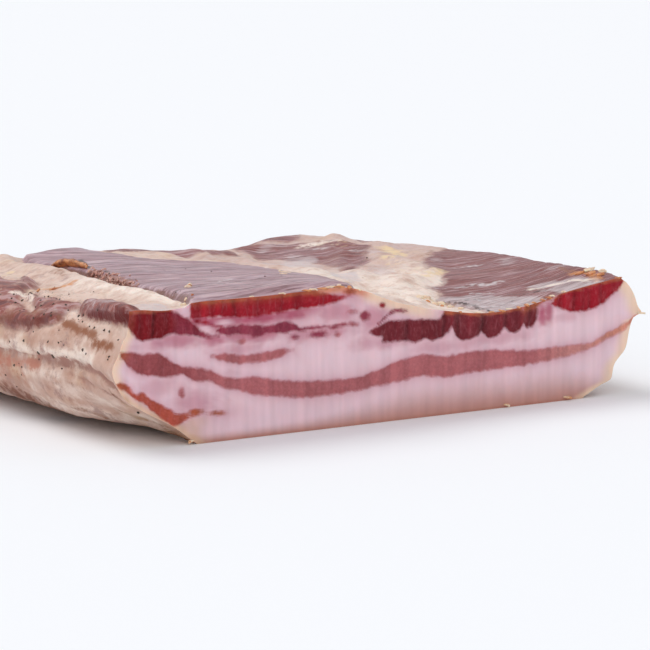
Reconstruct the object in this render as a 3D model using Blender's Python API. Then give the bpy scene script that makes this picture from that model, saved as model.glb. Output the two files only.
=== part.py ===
"""Half a side of flat pancetta, lying skin side down, with the fresh cut across its streaks at the front.

It runs with blender --background --python part.py, or from Blender's text editor. Lengths are millimetres
until the mesh is made. "Along" runs with the cut from its left end, "deep" runs into the slab from the
cut, and heights are above the flat underside. Last of all the mesh is moved so that its origin is under the
middle of the slab, with +X along the cut, +Y into the slab and +Z up."""

import bmesh
import bpy
import numpy as np
from mathutils import Vector, noise

MM = 0.001

# Driving sizes
LENGTH = 245.0
DEPTH = 200.0
BACK_CORNER_RADIUS = 38.0

# Cells of the surface grid: left of the flap, over it and right of it, then into the slab and down the walls
LOBE_CELLS = 10
FLAP_CELLS = 20
RIGHT_CELLS = 30
ALONG_CELLS = LOBE_CELLS + FLAP_CELLS + RIGHT_CELLS
DEEP_CELLS = 38
SIDE_FRACTIONS = (1.0, 0.965, 0.88, 0.80, 0.71, 0.62, 0.55, 0.48, 0.37, 0.26, 0.17, 0.105, 0.0)
WALL_ROWS = len(SIDE_FRACTIONS) - 1
TOP_ROW = -1

# Height of the top over (along): at the cut, at mid depth and near the back edge
TOP_AT_CUT = (
    (0, 50.2), (10, 50.6), (22, 49.6), (33, 50.2), (42, 51.2), (80, 51.6), (98, 52.6), (111, 49.8),
    (125, 45.4), (143, 40.8), (169, 37.8), (187, 39.3), (205, 43.0), (222, 45.6), (234, 46.9), (245, 46.4),
)
TOP_AT_MIDDLE = (
    (0, 46.0), (20, 48.0), (45, 49.5), (90, 50.0), (130, 48.5), (160, 45.5), (200, 46.5), (230, 49.4),
    (245, 49.6),
)
TOP_AT_BACK = (
    (0, 45.5), (50, 46.8), (65, 47.4), (80, 49.0), (101, 48.7), (131, 46.7), (150, 46.0), (161, 45.2),
    (171, 45.9), (181, 48.1), (200, 50.2), (215, 47.9), (232, 45.6), (245, 45.0),
)
MIDDLE_DEEP = 75.0
BACK_DEEP = 190.0

# The rim that stands up along the right-hand edge: where it rises and where it has died away
RIM_RISE = 1.5
RIM_ALONG = (205.0, 240.0)
RIM_STARTS = (0.0, 10.0)
RIM_FADES = (28.0, 80.0)

# The streaks on the cut, each a run of (along, height of its middle, half its thickness)
MIDDLE_STREAK = (
    (3, 35.0, 0.8), (9, 33.0, 2.8), (16, 30.6, 4.4), (25, 28.7, 2.9), (37, 25.0, 2.9), (54, 19.8, 2.6),
    (71, 17.0, 3.0), (95, 15.3, 2.9), (115, 17.0, 2.9), (136, 20.1, 4.2), (162, 19.4, 4.0), (191, 18.9, 2.7),
    (206, 19.6, 2.2), (220, 22.0, 2.4), (235, 27.5, 1.5), (245, 31.0, 0.5),
)
# Upper and lower faces of the lean along the top: lobe, flap, then the long right-hand muscle
UPPER_LEAN_TOP = (
    (0, 49.4), (27, 48.4), (38, 50.2), (98, 51.8), (106, 49.6), (116, 39.4), (134, 38.6), (150, 38.6),
    (169, 36.9), (200, 41.2), (245, 44.0),
)
UPPER_LEAN_FOOT = (
    (0, 41.8), (14, 40.2), (26, 41.8), (31, 45.6), (36, 45.7), (78, 45.6), (92, 46.8), (106, 48.2), (114, 36.4),
    (135, 30.2), (150, 31.6), (155, 28.6), (188, 29.6), (196, 34.0), (216, 35.2), (228, 39.4), (236, 43.4),
    (245, 43.6),
)
THINNEST_LEAN = 0.7
# Stretches of the cut where only fat comes between two muscles
SEAM_BESIDE_LOBE = (27.0, 33.0)
SEAM_BESIDE_FLAP = (104.0, 118.0)
LEAN_SINK_ON_CUT = 0.5
BLADE_WAVE = 0.25
BLADE_WAVE_SIZE = 7.0
CUT_THICKNESS = 1.5

# How far each side stands in from its furthest reach, over the share of the height there
LEFT_AT_CUT = (
    (0, 35), (0.03, 33), (0.146, 25), (0.285, 12), (0.38, 5), (0.47, 2), (0.585, 0), (0.71, 3), (0.79, 4.5),
    (0.83, 7), (1, 8.5),
)
RIGHT_AT_CUT = (
    (0, 30), (0.046, 26), (0.096, 21), (0.14, 15.5), (0.256, 14), (0.4, 8), (0.57, 6), (0.656, 4), (0.685, 0),
    (0.745, 2), (0.845, 4), (0.956, 8), (1, 11),
)
# The left side's foot curls up off the surface below, so that it ends in a lip
LEFT_BEHIND = (
    (0, 46), (0.05, 30), (0.105, 13.5), (0.15, 10), (0.3, 4), (0.46, 0.8), (0.6, 0), (0.7, 0.8), (0.83, 3.5),
    (0.95, 9), (1, 13),
)
RIGHT_BEHIND = (
    (0, 22), (0.15, 13), (0.3, 7), (0.46, 2.6), (0.62, 0.4), (0.7, 0), (0.85, 2.8), (0.95, 7), (1, 10),
)
BACK_WALL = ((0, 18), (0.15, 9), (0.3, 3.5), (0.46, 0.8), (0.6, 0), (0.7, 0.4), (0.83, 3.5), (0.95, 8), (1, 12))
CUT_END_REACH = 55.0
SIDE_CORNER_SHARE = 0.16
BACK_CORNER_SHARE = 0.13
CLOSER_NEAR_CUT = 1.15

# The crease round the dried walls, at the bottom of the upper muscle
CREASE_SHARE = 0.52
CREASE_STRAY = 0.05
CREASE_HALF_WIDTH = 0.07
CREASE_DEPTH = 1.7
WALL_WAVE = 1.7
WALL_WAVE_SIZE = 25.0
WALL_WAVE_FROM_FOOT = 0.2
SHARP_ANGLE = 42.0

# The thin muscle flap on top: its left edge and right edge over (deep), and where it ends at the back
FLAP_LEFT = (
    (0, 33), (12, 36), (28, 39), (55, 41), (72, 42), (90, 45), (108, 50), (132, 52), (163, 53), (185, 60),
    (200, 66),
)
FLAP_RIGHT = (
    (0, 104), (15, 115), (30, 122), (46, 125), (62, 119), (78, 116), (98, 115), (110, 108), (118, 100),
    (131, 93), (152, 91), (200, 88),
)
FLAP_END = 190.0
FLAP_END_WAVE = 3.0
FLAP_RISE = 1.8
GROOVE_DEPTH = 4.0
GROOVE_AT_CUT = 0.3
GROOVE_HALF_WIDTH = 4.2
FAT_RIDGE_OFFSET = 11.0
FAT_RIDGE_RISE = 2.0
FAT_RIDGE_HALF_WIDTH = 8.0

# The lean at the right of the top starts along this line, and a second patch lies further back
RIGHT_LEAN_EDGE = ((0, 138), (20, 152), (55, 178), (80, 202), (114, 224), (140, 243), (200, 262))
PATCH_CENTRE = (168.0, 142.0)
PATCH_HALF_SIZES = (52.0, 19.0)
PATCH_HEADING = (0.42, 0.907)
LEAN_DIP = 1.4
DIP_FROM_EDGE = (10.0, 28.0)
LUMPS_FROM_EDGE = (14.0, 34.0)
LOBE_LEAN_TO_FLAP = 19.0
FAT_LUMP = 3.0
FAT_LUMP_SIZE = 11.0
FAT_STARTS = (100.0, 125.0)
SWELL = 0.9
SWELL_SIZE = 27.0
EDGE_ROLL_RADIUS = 17.0
ROLL_ON_CUT = 0.05

# The larger bits of cracked pepper, pressed into the dried outside
PEPPER_COUNT = 34
PEPPER_RADIUS = 1.5
PEPPER_RADIUS_RANGE = 0.35
PEPPER_PROUD = 0.35
PEPPER_SPACING = 13.0
PEPPER_CLEAR_OF_CUT = 6.0
PEPPER_LOWEST = 12.0
PEPPER_SEED = 17
STEEPEST_TOP = 0.35


def smooth_through(stations, at):
    """A smooth curve through (place, value) stations, flat past its ends, with no overshoot between them."""
    places, values = (np.array(column, float) for column in zip(*stations))
    spans = np.diff(places)
    rates = np.diff(values) / spans
    slopes = np.zeros_like(values)
    turning = rates[:-1] * rates[1:] <= 0
    slopes[1:-1] = np.where(turning, 0.0, 2 * rates[:-1] * rates[1:] / (rates[:-1] + rates[1:] + turning))
    at = np.clip(np.asarray(at, float), places[0], places[-1])
    i = np.clip(np.searchsorted(places, at, side="right") - 1, 0, len(spans) - 1)
    t = (at - places[i]) / spans[i]
    rise = values[i + 1] - values[i]
    bend = t * (1 - t) * ((1 - t) * (slopes[i] * spans[i] - rise) - t * (slopes[i + 1] * spans[i] - rise))
    return values[i] + t * rise + bend


def ease(value, start, end):
    """0 up to start, 1 from end on, and a smooth rise between them."""
    t = np.clip((value - start) / (end - start), 0, 1)
    return t * t * (3 - 2 * t)


def wobble(along, deep, height, size, seed):
    """Smooth noise from about -1 to 1, whose bumps are about size across."""
    points = np.broadcast_arrays(np.asarray(along, float), deep, height)
    flat = np.stack([part.ravel() for part in points], 1) / size
    made = [noise.noise(Vector((x + seed, y - seed, z + 0.37 * seed))) for x, y, z in flat]
    return np.array(made).reshape(points[0].shape)


def inside_edge(along, deep):
    """How far a point of the plan lies inside the slab's outline, whose two back corners are round."""
    half = LENGTH / 2
    from_side = half - np.abs(along - half)
    from_back = DEPTH - deep
    corner = BACK_CORNER_RADIUS - np.hypot(
        np.maximum(BACK_CORNER_RADIUS - from_side, 0), np.maximum(BACK_CORNER_RADIUS - from_back, 0)
    )
    near_corner = np.minimum(from_side, from_back) < BACK_CORNER_RADIUS
    return np.where(near_corner, corner, np.minimum(from_side, from_back))


def inside_flap(along, deep):
    """Distance into the muscle flap from its nearest edge, below zero outside it."""
    left = along - smooth_through(FLAP_LEFT, deep)
    right = smooth_through(FLAP_RIGHT, deep) - along
    back = FLAP_END - deep + FLAP_END_WAVE * np.sin(along / 14)
    return np.minimum(np.minimum(left, right), back)


def inside_patch(along, deep):
    """Distance into the oval patch of lean near the back, below zero outside it."""
    dx, dy = along - PATCH_CENTRE[0], deep - PATCH_CENTRE[1]
    lengthwise = (dx * PATCH_HEADING[0] + dy * PATCH_HEADING[1]) / PATCH_HALF_SIZES[0]
    across = (dx * PATCH_HEADING[1] - dy * PATCH_HEADING[0]) / PATCH_HALF_SIZES[1]
    return (1 - np.hypot(lengthwise, across)) * PATCH_HALF_SIZES[1]


def top_height(along, deep):
    """Height of the top: three lofted profiles, then the muscles, seams and fat that stand out of them."""
    near = ease(deep, 0, MIDDLE_DEEP)
    far = ease(deep, MIDDLE_DEEP, BACK_DEEP)
    height = smooth_through(TOP_AT_CUT, along) * (1 - near) + smooth_through(TOP_AT_MIDDLE, along) * near
    height = height * (1 - far) + smooth_through(TOP_AT_BACK, along) * far

    behind_cut = ease(deep, 0, 8)
    flap = inside_flap(along, deep)
    to_groove = along - smooth_through(FLAP_LEFT, deep)
    opens = GROOVE_AT_CUT + (1 - GROOVE_AT_CUT) * ease(deep, 2, 30)
    opens = opens * (1 - ease(deep, FLAP_END - 30, FLAP_END))
    height += FLAP_RISE * ease(flap, 0, 4) * behind_cut
    height -= GROOVE_DEPTH * np.exp(-((to_groove / GROOVE_HALF_WIDTH) ** 2)) * opens
    ridge = np.exp(-(((to_groove + FAT_RIDGE_OFFSET) / FAT_RIDGE_HALF_WIDTH) ** 2))
    height += FAT_RIDGE_RISE * ridge * ease(deep, 2, 30)

    height += RIM_RISE * ease(along, *RIM_ALONG) * ease(deep, *RIM_STARTS) * (1 - ease(deep, *RIM_FADES))

    right_lean = along - smooth_through(RIGHT_LEAN_EDGE, deep)
    patch = inside_patch(along, deep)
    from_edge = inside_edge(along, deep)
    height -= LEAN_DIP * ease(right_lean, -3, 6) * ease(deep, 4, 30) * ease(from_edge, *DIP_FROM_EDGE)
    height -= LEAN_DIP * ease(patch, -2, 5) * ease(from_edge, *DIP_FROM_EDGE)
    fat_zone = ease(-flap, 0, 8) * ease(along, *FAT_STARTS) * ease(-right_lean, -2, 8) * ease(-patch, 0, 6)
    fat_zone = fat_zone * ease(from_edge, *LUMPS_FROM_EDGE)
    height += FAT_LUMP * fat_zone * wobble(along, deep * 0.7, 0, FAT_LUMP_SIZE, 3.1)
    height += SWELL * wobble(along, deep, 0, SWELL_SIZE, 8.4) * ease(deep, 0, 15)

    roll = np.clip(1 - from_edge / EDGE_ROLL_RADIUS, 0, 0.95)
    drop = EDGE_ROLL_RADIUS * (1 - np.sqrt(1 - roll**2))
    return height - drop * (ROLL_ON_CUT + (1 - ROLL_ON_CUT) * ease(deep, 4, 50))


def inset(side, share, deep):
    """How far the left, right or back wall stands in at this share of the height, without its crease."""
    if side == "back":
        return smooth_through(BACK_WALL, share)
    at_cut, behind = (LEFT_AT_CUT, LEFT_BEHIND) if side == "left" else (RIGHT_AT_CUT, RIGHT_BEHIND)
    mix = ease(deep, 0, CUT_END_REACH)
    return smooth_through(at_cut, share) * (1 - mix) + smooth_through(behind, share) * mix


def uneven(along, deep, share):
    """What the crease and the meat's own waviness add to a wall's inset."""
    crease_at = CREASE_SHARE + CREASE_STRAY * wobble(along, deep, 0, 38, 11.2)
    crease = np.exp(-(((share - crease_at) / CREASE_HALF_WIDTH) ** 2))
    depth = CREASE_DEPTH * (1 + wobble(along, deep, 7, 45, 4.6))
    wave = WALL_WAVE * wobble(along, deep, share * 40, WALL_WAVE_SIZE, 5.7)
    return depth * crease + wave * ease(share, 0, WALL_WAVE_FROM_FOOT)


def side_line(side, t, share):
    """Plan points of a side wall, from the cut (t = 0) to the middle of the round back corner (t = 1)."""
    to_corner = 1 - SIDE_CORNER_SHARE
    deep = (DEPTH - BACK_CORNER_RADIUS) * np.minimum(t / to_corner, 1.0) ** CLOSER_NEAR_CUT
    angle = np.clip((t - to_corner) / SIDE_CORNER_SHARE, 0, 1) * np.pi / 4
    turned = ease(angle, 0, np.pi / 4)
    own, back = inset(side, share, deep), inset("back", share, deep)
    reach = own + (back - own) / 2 * turned
    reach += uneven(0 if side == "left" else LENGTH, deep, share) * ease(deep, 4, 40) * (1 - turned)
    outward = (BACK_CORNER_RADIUS - reach) * np.cos(angle)
    onward = (BACK_CORNER_RADIUS - reach) * np.sin(angle)
    across = BACK_CORNER_RADIUS - outward
    return (across if side == "left" else LENGTH - across), deep + onward


def back_line(t, share):
    """Plan points of the back wall, from the middle of its left corner (t = 0) to that of its right one."""
    angle = np.pi / 4 + np.clip(np.minimum(t, 1 - t) / BACK_CORNER_SHARE, 0, 1) * np.pi / 4
    straight = np.clip((t - BACK_CORNER_SHARE) / (1 - 2 * BACK_CORNER_SHARE), 0, 1)
    turned = ease(angle, np.pi / 4, np.pi / 2)
    own = inset("back", share, DEPTH)
    side = np.where(t < 0.5, inset("left", share, DEPTH), inset("right", share, DEPTH))
    middle = BACK_CORNER_RADIUS + (LENGTH - 2 * BACK_CORNER_RADIUS) * straight
    reach = own + (side - own) / 2 * (1 - turned) + uneven(middle, DEPTH, share) * turned
    swing = (BACK_CORNER_RADIUS - reach) * np.cos(angle)
    along = middle - np.where(t < 0.5, swing, -swing)
    return along, DEPTH - BACK_CORNER_RADIUS + (BACK_CORNER_RADIUS - reach) * np.sin(angle)


def cut_rows(along):
    """Heights of the cut's grid rows, which follow the faces of its streaks: lean and fat meet on a row."""
    top = top_height(along, np.zeros_like(along))
    lean_top = np.minimum(smooth_through(UPPER_LEAN_TOP, along), top - THINNEST_LEAN)
    lean_foot = np.minimum(smooth_through(UPPER_LEAN_FOOT, along), lean_top - THINNEST_LEAN)
    middle = smooth_through([(s[0], s[1]) for s in MIDDLE_STREAK], along)
    half = smooth_through([(s[0], s[2]) for s in MIDDLE_STREAK], along)
    streak_top, streak_foot = middle + half, middle - half
    third = (lean_foot - streak_top) / 3
    rows = [top, lean_top, lean_foot, lean_foot - third, lean_foot - 2 * third, streak_top, middle, streak_foot]
    below = WALL_ROWS + 1 - len(rows)
    rows += [streak_foot * (1 - (i + 1) / below) for i in range(below)]
    return np.array(rows)


def cut_columns(start, end):
    """Places along the cut from its left to its right end, with one on each edge of the flap."""
    flap_start, flap_end = FLAP_LEFT[0][1], FLAP_RIGHT[0][1]
    left = np.linspace(start, flap_start, LOBE_CELLS + 1)
    over_flap = np.linspace(flap_start, flap_end, FLAP_CELLS + 1)
    right = np.linspace(flap_end, end, RIGHT_CELLS + 1)
    return np.concatenate([left, over_flap[1:], right[1:]])


def cut_face():
    """Along and height of every point of the cut, row by row from its top edge down."""
    top_columns = cut_columns(inset("left", 1.0, np.array(0.0)), LENGTH - inset("right", 1.0, np.array(0.0)))
    across = (top_columns - top_columns[0]) / (top_columns[-1] - top_columns[0])
    along = np.tile(top_columns, (WALL_ROWS + 1, 1))
    zero = np.array(0.0)
    for _ in range(4):
        heights = np.stack([cut_rows(row)[i] for i, row in enumerate(along)])
        share_left, share_right = heights[:, 0] / heights[0, 0], heights[:, -1] / heights[0, -1]
        start = inset("left", share_left, zero)
        end = LENGTH - inset("right", share_right, zero)
        along = start[:, None] + (end - start)[:, None] * across[None, :]
    heights = np.stack([cut_rows(row)[i] for i, row in enumerate(along)])
    return along, heights


def lean_on_cut(row):
    """True for the grid rows of the cut that bound or lie in lean."""
    return row in (1, 2, 5, 6, 7)


def cut_relief(along, heights):
    """The cut's small depth: lean dries and sinks a little, and the blade leaves shallow upright waves."""
    waves = BLADE_WAVE * wobble(along, 0, heights * 0.2, BLADE_WAVE_SIZE, 2.2)
    sunk = np.array([[LEAN_SINK_ON_CUT if lean_on_cut(i) else 0.0] for i in range(WALL_ROWS + 1)])
    relief = waves + sunk
    relief[0] = 0
    relief[-1] = 0
    relief[:, 0] = 0
    relief[:, -1] = 0
    return relief


def drawn_to_flap(along, deep):
    """Moves the grid's columns sideways so that two of them run down the flap's two edges."""
    columns = np.arange(ALONG_CELLS + 1)
    drawn = along.copy()
    for row in range(DEEP_CELLS + 1):
        held = 1 - ease(deep[LOBE_CELLS, row], FLAP_END - 20, DEPTH)
        shifts = [0.0]
        for column, edge in ((LOBE_CELLS, FLAP_LEFT), (LOBE_CELLS + FLAP_CELLS, FLAP_RIGHT)):
            shifts.append((smooth_through(edge, deep[column, row]) - along[column, row]) * held)
        shifts.append(0.0)
        stations = (0, LOBE_CELLS, LOBE_CELLS + FLAP_CELLS, ALONG_CELLS)
        drawn[:, row] += np.interp(columns, stations, shifts)
    return drawn


def top_grid(front, left, right, back):
    """Plan points of the top, filled in between its four edges."""
    a = np.linspace(0, 1, ALONG_CELLS + 1)[:, None]
    b = np.linspace(0, 1, DEEP_CELLS + 1)[None, :]
    filled = []
    for axis in (0, 1):
        f, k, l, r = (line[axis] for line in (front, back, left, right))
        between_ends = (1 - b) * f[:, None] + b * k[:, None]
        between_sides = (1 - a) * l[None, :] + a * r[None, :]
        corners = (1 - a) * (1 - b) * f[0] + a * (1 - b) * f[-1] + (1 - a) * b * k[0] + a * b * k[-1]
        filled.append(between_ends + between_sides - corners)
    along, deep = filled
    return drawn_to_flap(along, deep), deep


def wall_shares(cut_end_shares, deep):
    """Share of the height at each wall row: the cut's own rows at its end, then even rows further in."""
    mix = ease(deep, 0, CUT_END_REACH)[None, :]
    return cut_end_shares[:, None] * (1 - mix) + np.array(SIDE_FRACTIONS)[:, None] * mix


def surface():
    """All points: the top grid, then the rings of the walls from the top down."""
    cut_along, cut_heights = cut_face()
    relief = cut_relief(cut_along, cut_heights)
    t_deep = np.linspace(0, 1, DEEP_CELLS + 1)
    t_back = np.linspace(0, 1, ALONG_CELLS + 1)
    one = np.ones(1)

    walls = []
    for side, end in (("left", 0), ("right", -1)):
        _, deep = side_line(side, t_deep, one)
        shares = wall_shares(cut_heights[:, end] / cut_heights[0, end], deep)
        rows = [side_line(side, t_deep, share) for share in shares]
        edge_height = top_height(*rows[0])
        walls.append([np.stack([x, y, edge_height * share], 1) for (x, y), share in zip(rows, shares)])
    left, right = walls
    back = []
    for row, share in enumerate(SIDE_FRACTIONS):
        x, y = back_line(t_back, share * np.ones_like(t_back))
        if row == 0:
            edge_height = top_height(x, y)
        back.append(np.stack([x, y, edge_height * share], 1))
    front = [np.stack([cut_along[i], relief[i], cut_heights[i]], 1) for i in range(WALL_ROWS + 1)]

    # The side walls and the back wall share one edge at each round corner
    for row in range(WALL_ROWS + 1):
        for side_wall, end in ((left, 0), (right, -1)):
            side_wall[row][-1] = back[row][end] = (side_wall[row][-1] + back[row][end]) / 2

    plan = top_grid(*[(w[0][:, 0], w[0][:, 1]) for w in (front, left, right, back)])
    top = np.stack([*plan, top_height(*plan)], 2)
    top[:, 0], top[:, -1], top[0, :], top[-1, :] = front[0], back[0], left[0], right[0]

    points = [top.reshape(-1, 3)]
    for row in range(1, WALL_ROWS + 1):
        points.append(np.concatenate([front[row][:-1], right[row][:-1], back[row][:0:-1], left[row][:0:-1]]))
    return np.concatenate(points)


def faces():
    """Faces over the points of surface(), each with its wall row, TOP_ROW on top or WALL_ROWS underneath."""
    nx, ny = ALONG_CELLS, DEEP_CELLS
    grid = np.arange((nx + 1) * (ny + 1)).reshape(nx + 1, ny + 1)
    made = []
    for i in range(nx):
        for j in range(ny):
            made.append(((grid[i, j], grid[i + 1, j], grid[i + 1, j + 1], grid[i, j + 1]), TOP_ROW))
    ring = np.concatenate([grid[:-1, 0], grid[-1, :-1], grid[:0:-1, -1], grid[0, :0:-1]])
    start = grid.size
    for row in range(WALL_ROWS):
        below = start + row * len(ring) + np.arange(len(ring))
        for p in range(len(ring)):
            q = (p + 1) % len(ring)
            made.append(((ring[p], below[p], below[q], ring[q]), row))
        ring = below
    made.append((tuple(ring[::-1]), WALL_ROWS))
    return made


def fit_to_size(mesh):
    """Moves the slab over the origin and makes its length and depth the stated ones exactly."""
    points = np.empty(len(mesh.vertices) * 3)
    mesh.vertices.foreach_get("co", points)
    points = points.reshape(-1, 3)
    low, high = points.min(0), points.max(0)
    scale = np.array([LENGTH * MM / (high[0] - low[0]), DEPTH * MM / (high[1] - low[1]), 1.0])
    middle = np.array([(low[0] + high[0]) / 2, (low[1] + high[1]) / 2, low[2]])
    mesh.vertices.foreach_set("co", ((points - middle) * scale).ravel())


def material(name, colour, roughness):
    """A plain finish; its colour is linear red, green and blue."""
    made = bpy.data.materials.new(name)
    made.use_nodes = True
    shader = made.node_tree.nodes["Principled BSDF"]
    shader.inputs["Base Color"].default_value = (*colour, 1.0)
    shader.inputs["Roughness"].default_value = roughness
    shader.inputs["Metallic"].default_value = 0.0
    made.diffuse_color = (*colour, 1.0)
    return made


def finishes():
    """The tissues that show: fat and lean on the fresh cut, and the same two dried on the outside."""
    return [
        material("cut_fat", (0.72, 0.53, 0.57), 0.35),
        material("cut_lean_rose", (0.36, 0.10, 0.11), 0.4),
        material("cut_lean_deep", (0.26, 0.025, 0.035), 0.35),
        material("outer_fat", (0.74, 0.56, 0.38), 0.5),
        material("outer_lean", (0.24, 0.11, 0.105), 0.45),
    ]


def tissue_of(centre, row, on_cut):
    """Index into finishes() for a face, from where its middle lies."""
    along, deep, _ = centre
    if on_cut:
        in_seam = any(low < along < high for low, high in (SEAM_BESIDE_LOBE, SEAM_BESIDE_FLAP))
        in_upper_lean = row == 1 and not in_seam
        in_middle_streak = row in (5, 6)
        return 2 if in_upper_lean else 1 if in_middle_streak else 3 if row == 0 else 0
    if row == TOP_ROW:
        lobe = smooth_through(FLAP_LEFT, deep) - LOBE_LEAN_TO_FLAP - along
        right_lean = along - smooth_through(RIGHT_LEAN_EDGE, deep)
        lean = max(inside_flap(along, deep), inside_patch(along, deep), lobe, right_lean)
        return 4 if lean > 0 else 3
    return 4 if row in (0, 1, 6) else 3


def pepper_places(mesh, rng):
    """Evenly spread (place, outward direction) pairs in mm, on the dried walls and the lobe."""
    lobe_end = FLAP_LEFT[0][1]
    outer = []
    for face in mesh.polygons:
        along, deep, height = face.center / MM
        on_wall = abs(face.normal.z) < STEEPEST_TOP
        on_lobe = face.normal.z >= STEEPEST_TOP and along < lobe_end
        if deep > PEPPER_CLEAR_OF_CUT and height > PEPPER_LOWEST and (on_wall or on_lobe):
            outer.append(face)
    areas = np.array([face.area for face in outer])
    chosen = []
    while len(chosen) < PEPPER_COUNT:
        face = outer[rng.choice(len(outer), p=areas / areas.sum())]
        place = face.center / MM
        if all((place - other).length > PEPPER_SPACING for other, _ in chosen):
            chosen.append((place, face.normal.copy()))
    return chosen


def pepper_grain(place, outward, finish, rng):
    """One cracked bit: an icosahedron with uneven corners, half sunk into the meat."""
    shape = bmesh.new()
    bmesh.ops.create_icosphere(shape, subdivisions=1, radius=1.0)
    turn = outward.to_track_quat("Z", "Y").to_matrix()
    radius = PEPPER_RADIUS * (1 + PEPPER_RADIUS_RANGE * rng.uniform(-1, 1))
    stretch = Vector((rng.uniform(0.85, 1.25), rng.uniform(0.75, 1.0), 0.8))
    for corner in shape.verts:
        uneven_corner = corner.co * rng.uniform(0.82, 1.12) * stretch * radius
        corner.co = (place + turn @ (uneven_corner + Vector((0, 0, PEPPER_PROUD * radius)))) * MM
    mesh = bpy.data.meshes.new("pepper_grain")
    shape.to_mesh(mesh)
    shape.free()
    mesh.materials.append(finish)
    return bpy.data.objects.new("pepper_grain", mesh)


def press_in_pepper(slab):
    """Joins all the pepper to the slab with one Boolean union, and removes the loose bits."""
    rng = np.random.default_rng(PEPPER_SEED)
    finish = material("cracked_pepper", (0.05, 0.035, 0.028), 0.7)
    pepper = bpy.data.collections.new("pepper")
    bpy.context.scene.collection.children.link(pepper)
    for place, outward in pepper_places(slab.data, rng):
        pepper.objects.link(pepper_grain(place, outward, finish, rng))
    union = slab.modifiers.new("pepper", "BOOLEAN")
    union.operation = "UNION"
    union.operand_type = "COLLECTION"
    union.collection = pepper
    union.material_mode = "TRANSFER"
    graph = bpy.context.evaluated_depsgraph_get()
    joined = bpy.data.meshes.new_from_object(slab.evaluated_get(graph))
    slab.modifiers.remove(union)
    slab.data = joined
    for grain in list(pepper.objects):
        bpy.data.objects.remove(grain)
    bpy.data.collections.remove(pepper)


def build():
    for old in list(bpy.data.objects):
        bpy.data.objects.remove(old)
    points = surface()
    made = faces()
    tissues = []
    for corners, row in made:
        at = points[list(corners)]
        on_cut = TOP_ROW < row < WALL_ROWS and at[:, 1].max() < CUT_THICKNESS
        tissues.append(tissue_of(at.mean(0), row, on_cut))
    mesh = bpy.data.meshes.new("pancetta_slab")
    mesh.from_pydata((points * MM).tolist(), [], [[int(i) for i in corners] for corners, _ in made])
    for finish in finishes():
        mesh.materials.append(finish)
    for polygon, tissue in zip(mesh.polygons, tissues):
        polygon.material_index = tissue
    mesh.validate()
    slab = bpy.data.objects.new("pancetta_slab", mesh)
    bpy.context.scene.collection.objects.link(slab)
    press_in_pepper(slab)
    slab.data.name = "pancetta_slab"
    fit_to_size(slab.data)
    slab.data.shade_smooth()
    slab.data.set_sharp_from_angle(angle=np.radians(SHARP_ANGLE))


build()
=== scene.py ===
"""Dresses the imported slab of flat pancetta: its marbled fresh cut, its air-dried outside, the cracked pepper
and the loose bits on it, then the floor, the lights and the camera.

Sizes are millimetres until a mesh is made. "Along" runs with the cut from its left end, "deep" runs into the
slab from the cut, and heights are above the flat underside, as in the slab's own source."""

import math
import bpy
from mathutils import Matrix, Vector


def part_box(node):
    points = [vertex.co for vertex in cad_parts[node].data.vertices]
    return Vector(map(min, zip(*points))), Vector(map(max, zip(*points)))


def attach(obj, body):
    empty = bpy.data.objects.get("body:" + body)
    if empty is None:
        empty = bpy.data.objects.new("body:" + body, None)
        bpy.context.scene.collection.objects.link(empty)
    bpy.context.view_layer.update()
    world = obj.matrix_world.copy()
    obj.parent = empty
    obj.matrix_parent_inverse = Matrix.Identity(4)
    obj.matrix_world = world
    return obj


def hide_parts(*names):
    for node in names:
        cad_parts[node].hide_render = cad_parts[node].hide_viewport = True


bl_info = {
    "name": "Flat Pancetta Looks",
    "version": (1, 0, 0),
    "blender": (4, 5, 0),
    "location": "3D View > Sidebar > Pancetta",
    "description": "Makes the marbled cut, the dried outside, the pepper and the stage of a pancetta slab",
    "category": "Object",
}

from types import SimpleNamespace

import bmesh
import bpy
import numpy as np
from bpy.props import FloatProperty, FloatVectorProperty, IntProperty, PointerProperty
from mathutils import Matrix, Vector, noise

MM = 0.001
NODE = "pancetta_slab"
BODY = "root"

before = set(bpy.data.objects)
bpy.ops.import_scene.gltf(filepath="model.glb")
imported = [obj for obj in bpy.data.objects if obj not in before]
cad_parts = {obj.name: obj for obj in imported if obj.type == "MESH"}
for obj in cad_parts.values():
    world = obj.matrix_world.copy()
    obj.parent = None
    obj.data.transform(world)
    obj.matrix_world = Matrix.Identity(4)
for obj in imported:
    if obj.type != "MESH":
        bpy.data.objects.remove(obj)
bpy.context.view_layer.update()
SLAB_LOW, SLAB_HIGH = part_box(NODE)

# Driving sizes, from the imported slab
LENGTH = (SLAB_HIGH.x - SLAB_LOW.x) / MM
DEPTH = (SLAB_HIGH.y - SLAB_LOW.y) / MM
BACK_CORNER_RADIUS = 38.0
PEPPER_PROUD = 0.5

# Cells of the surface grid: left of the flap, over it and right of it, then into the slab and down the walls
LOBE_CELLS = 46
FLAP_CELLS = 98
RIGHT_CELLS = 196
ALONG_CELLS = LOBE_CELLS + FLAP_CELLS + RIGHT_CELLS
DEEP_CELLS = 108
WALL_ROWS = 60
GRID_POINTS = (ALONG_CELLS + 1) * (DEEP_CELLS + 1)
RING_POINTS = 2 * (ALONG_CELLS + DEEP_CELLS)
# Share of the height at each row of the walls, from the top down
SHARES = np.linspace(1, 0, WALL_ROWS + 1)

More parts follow.
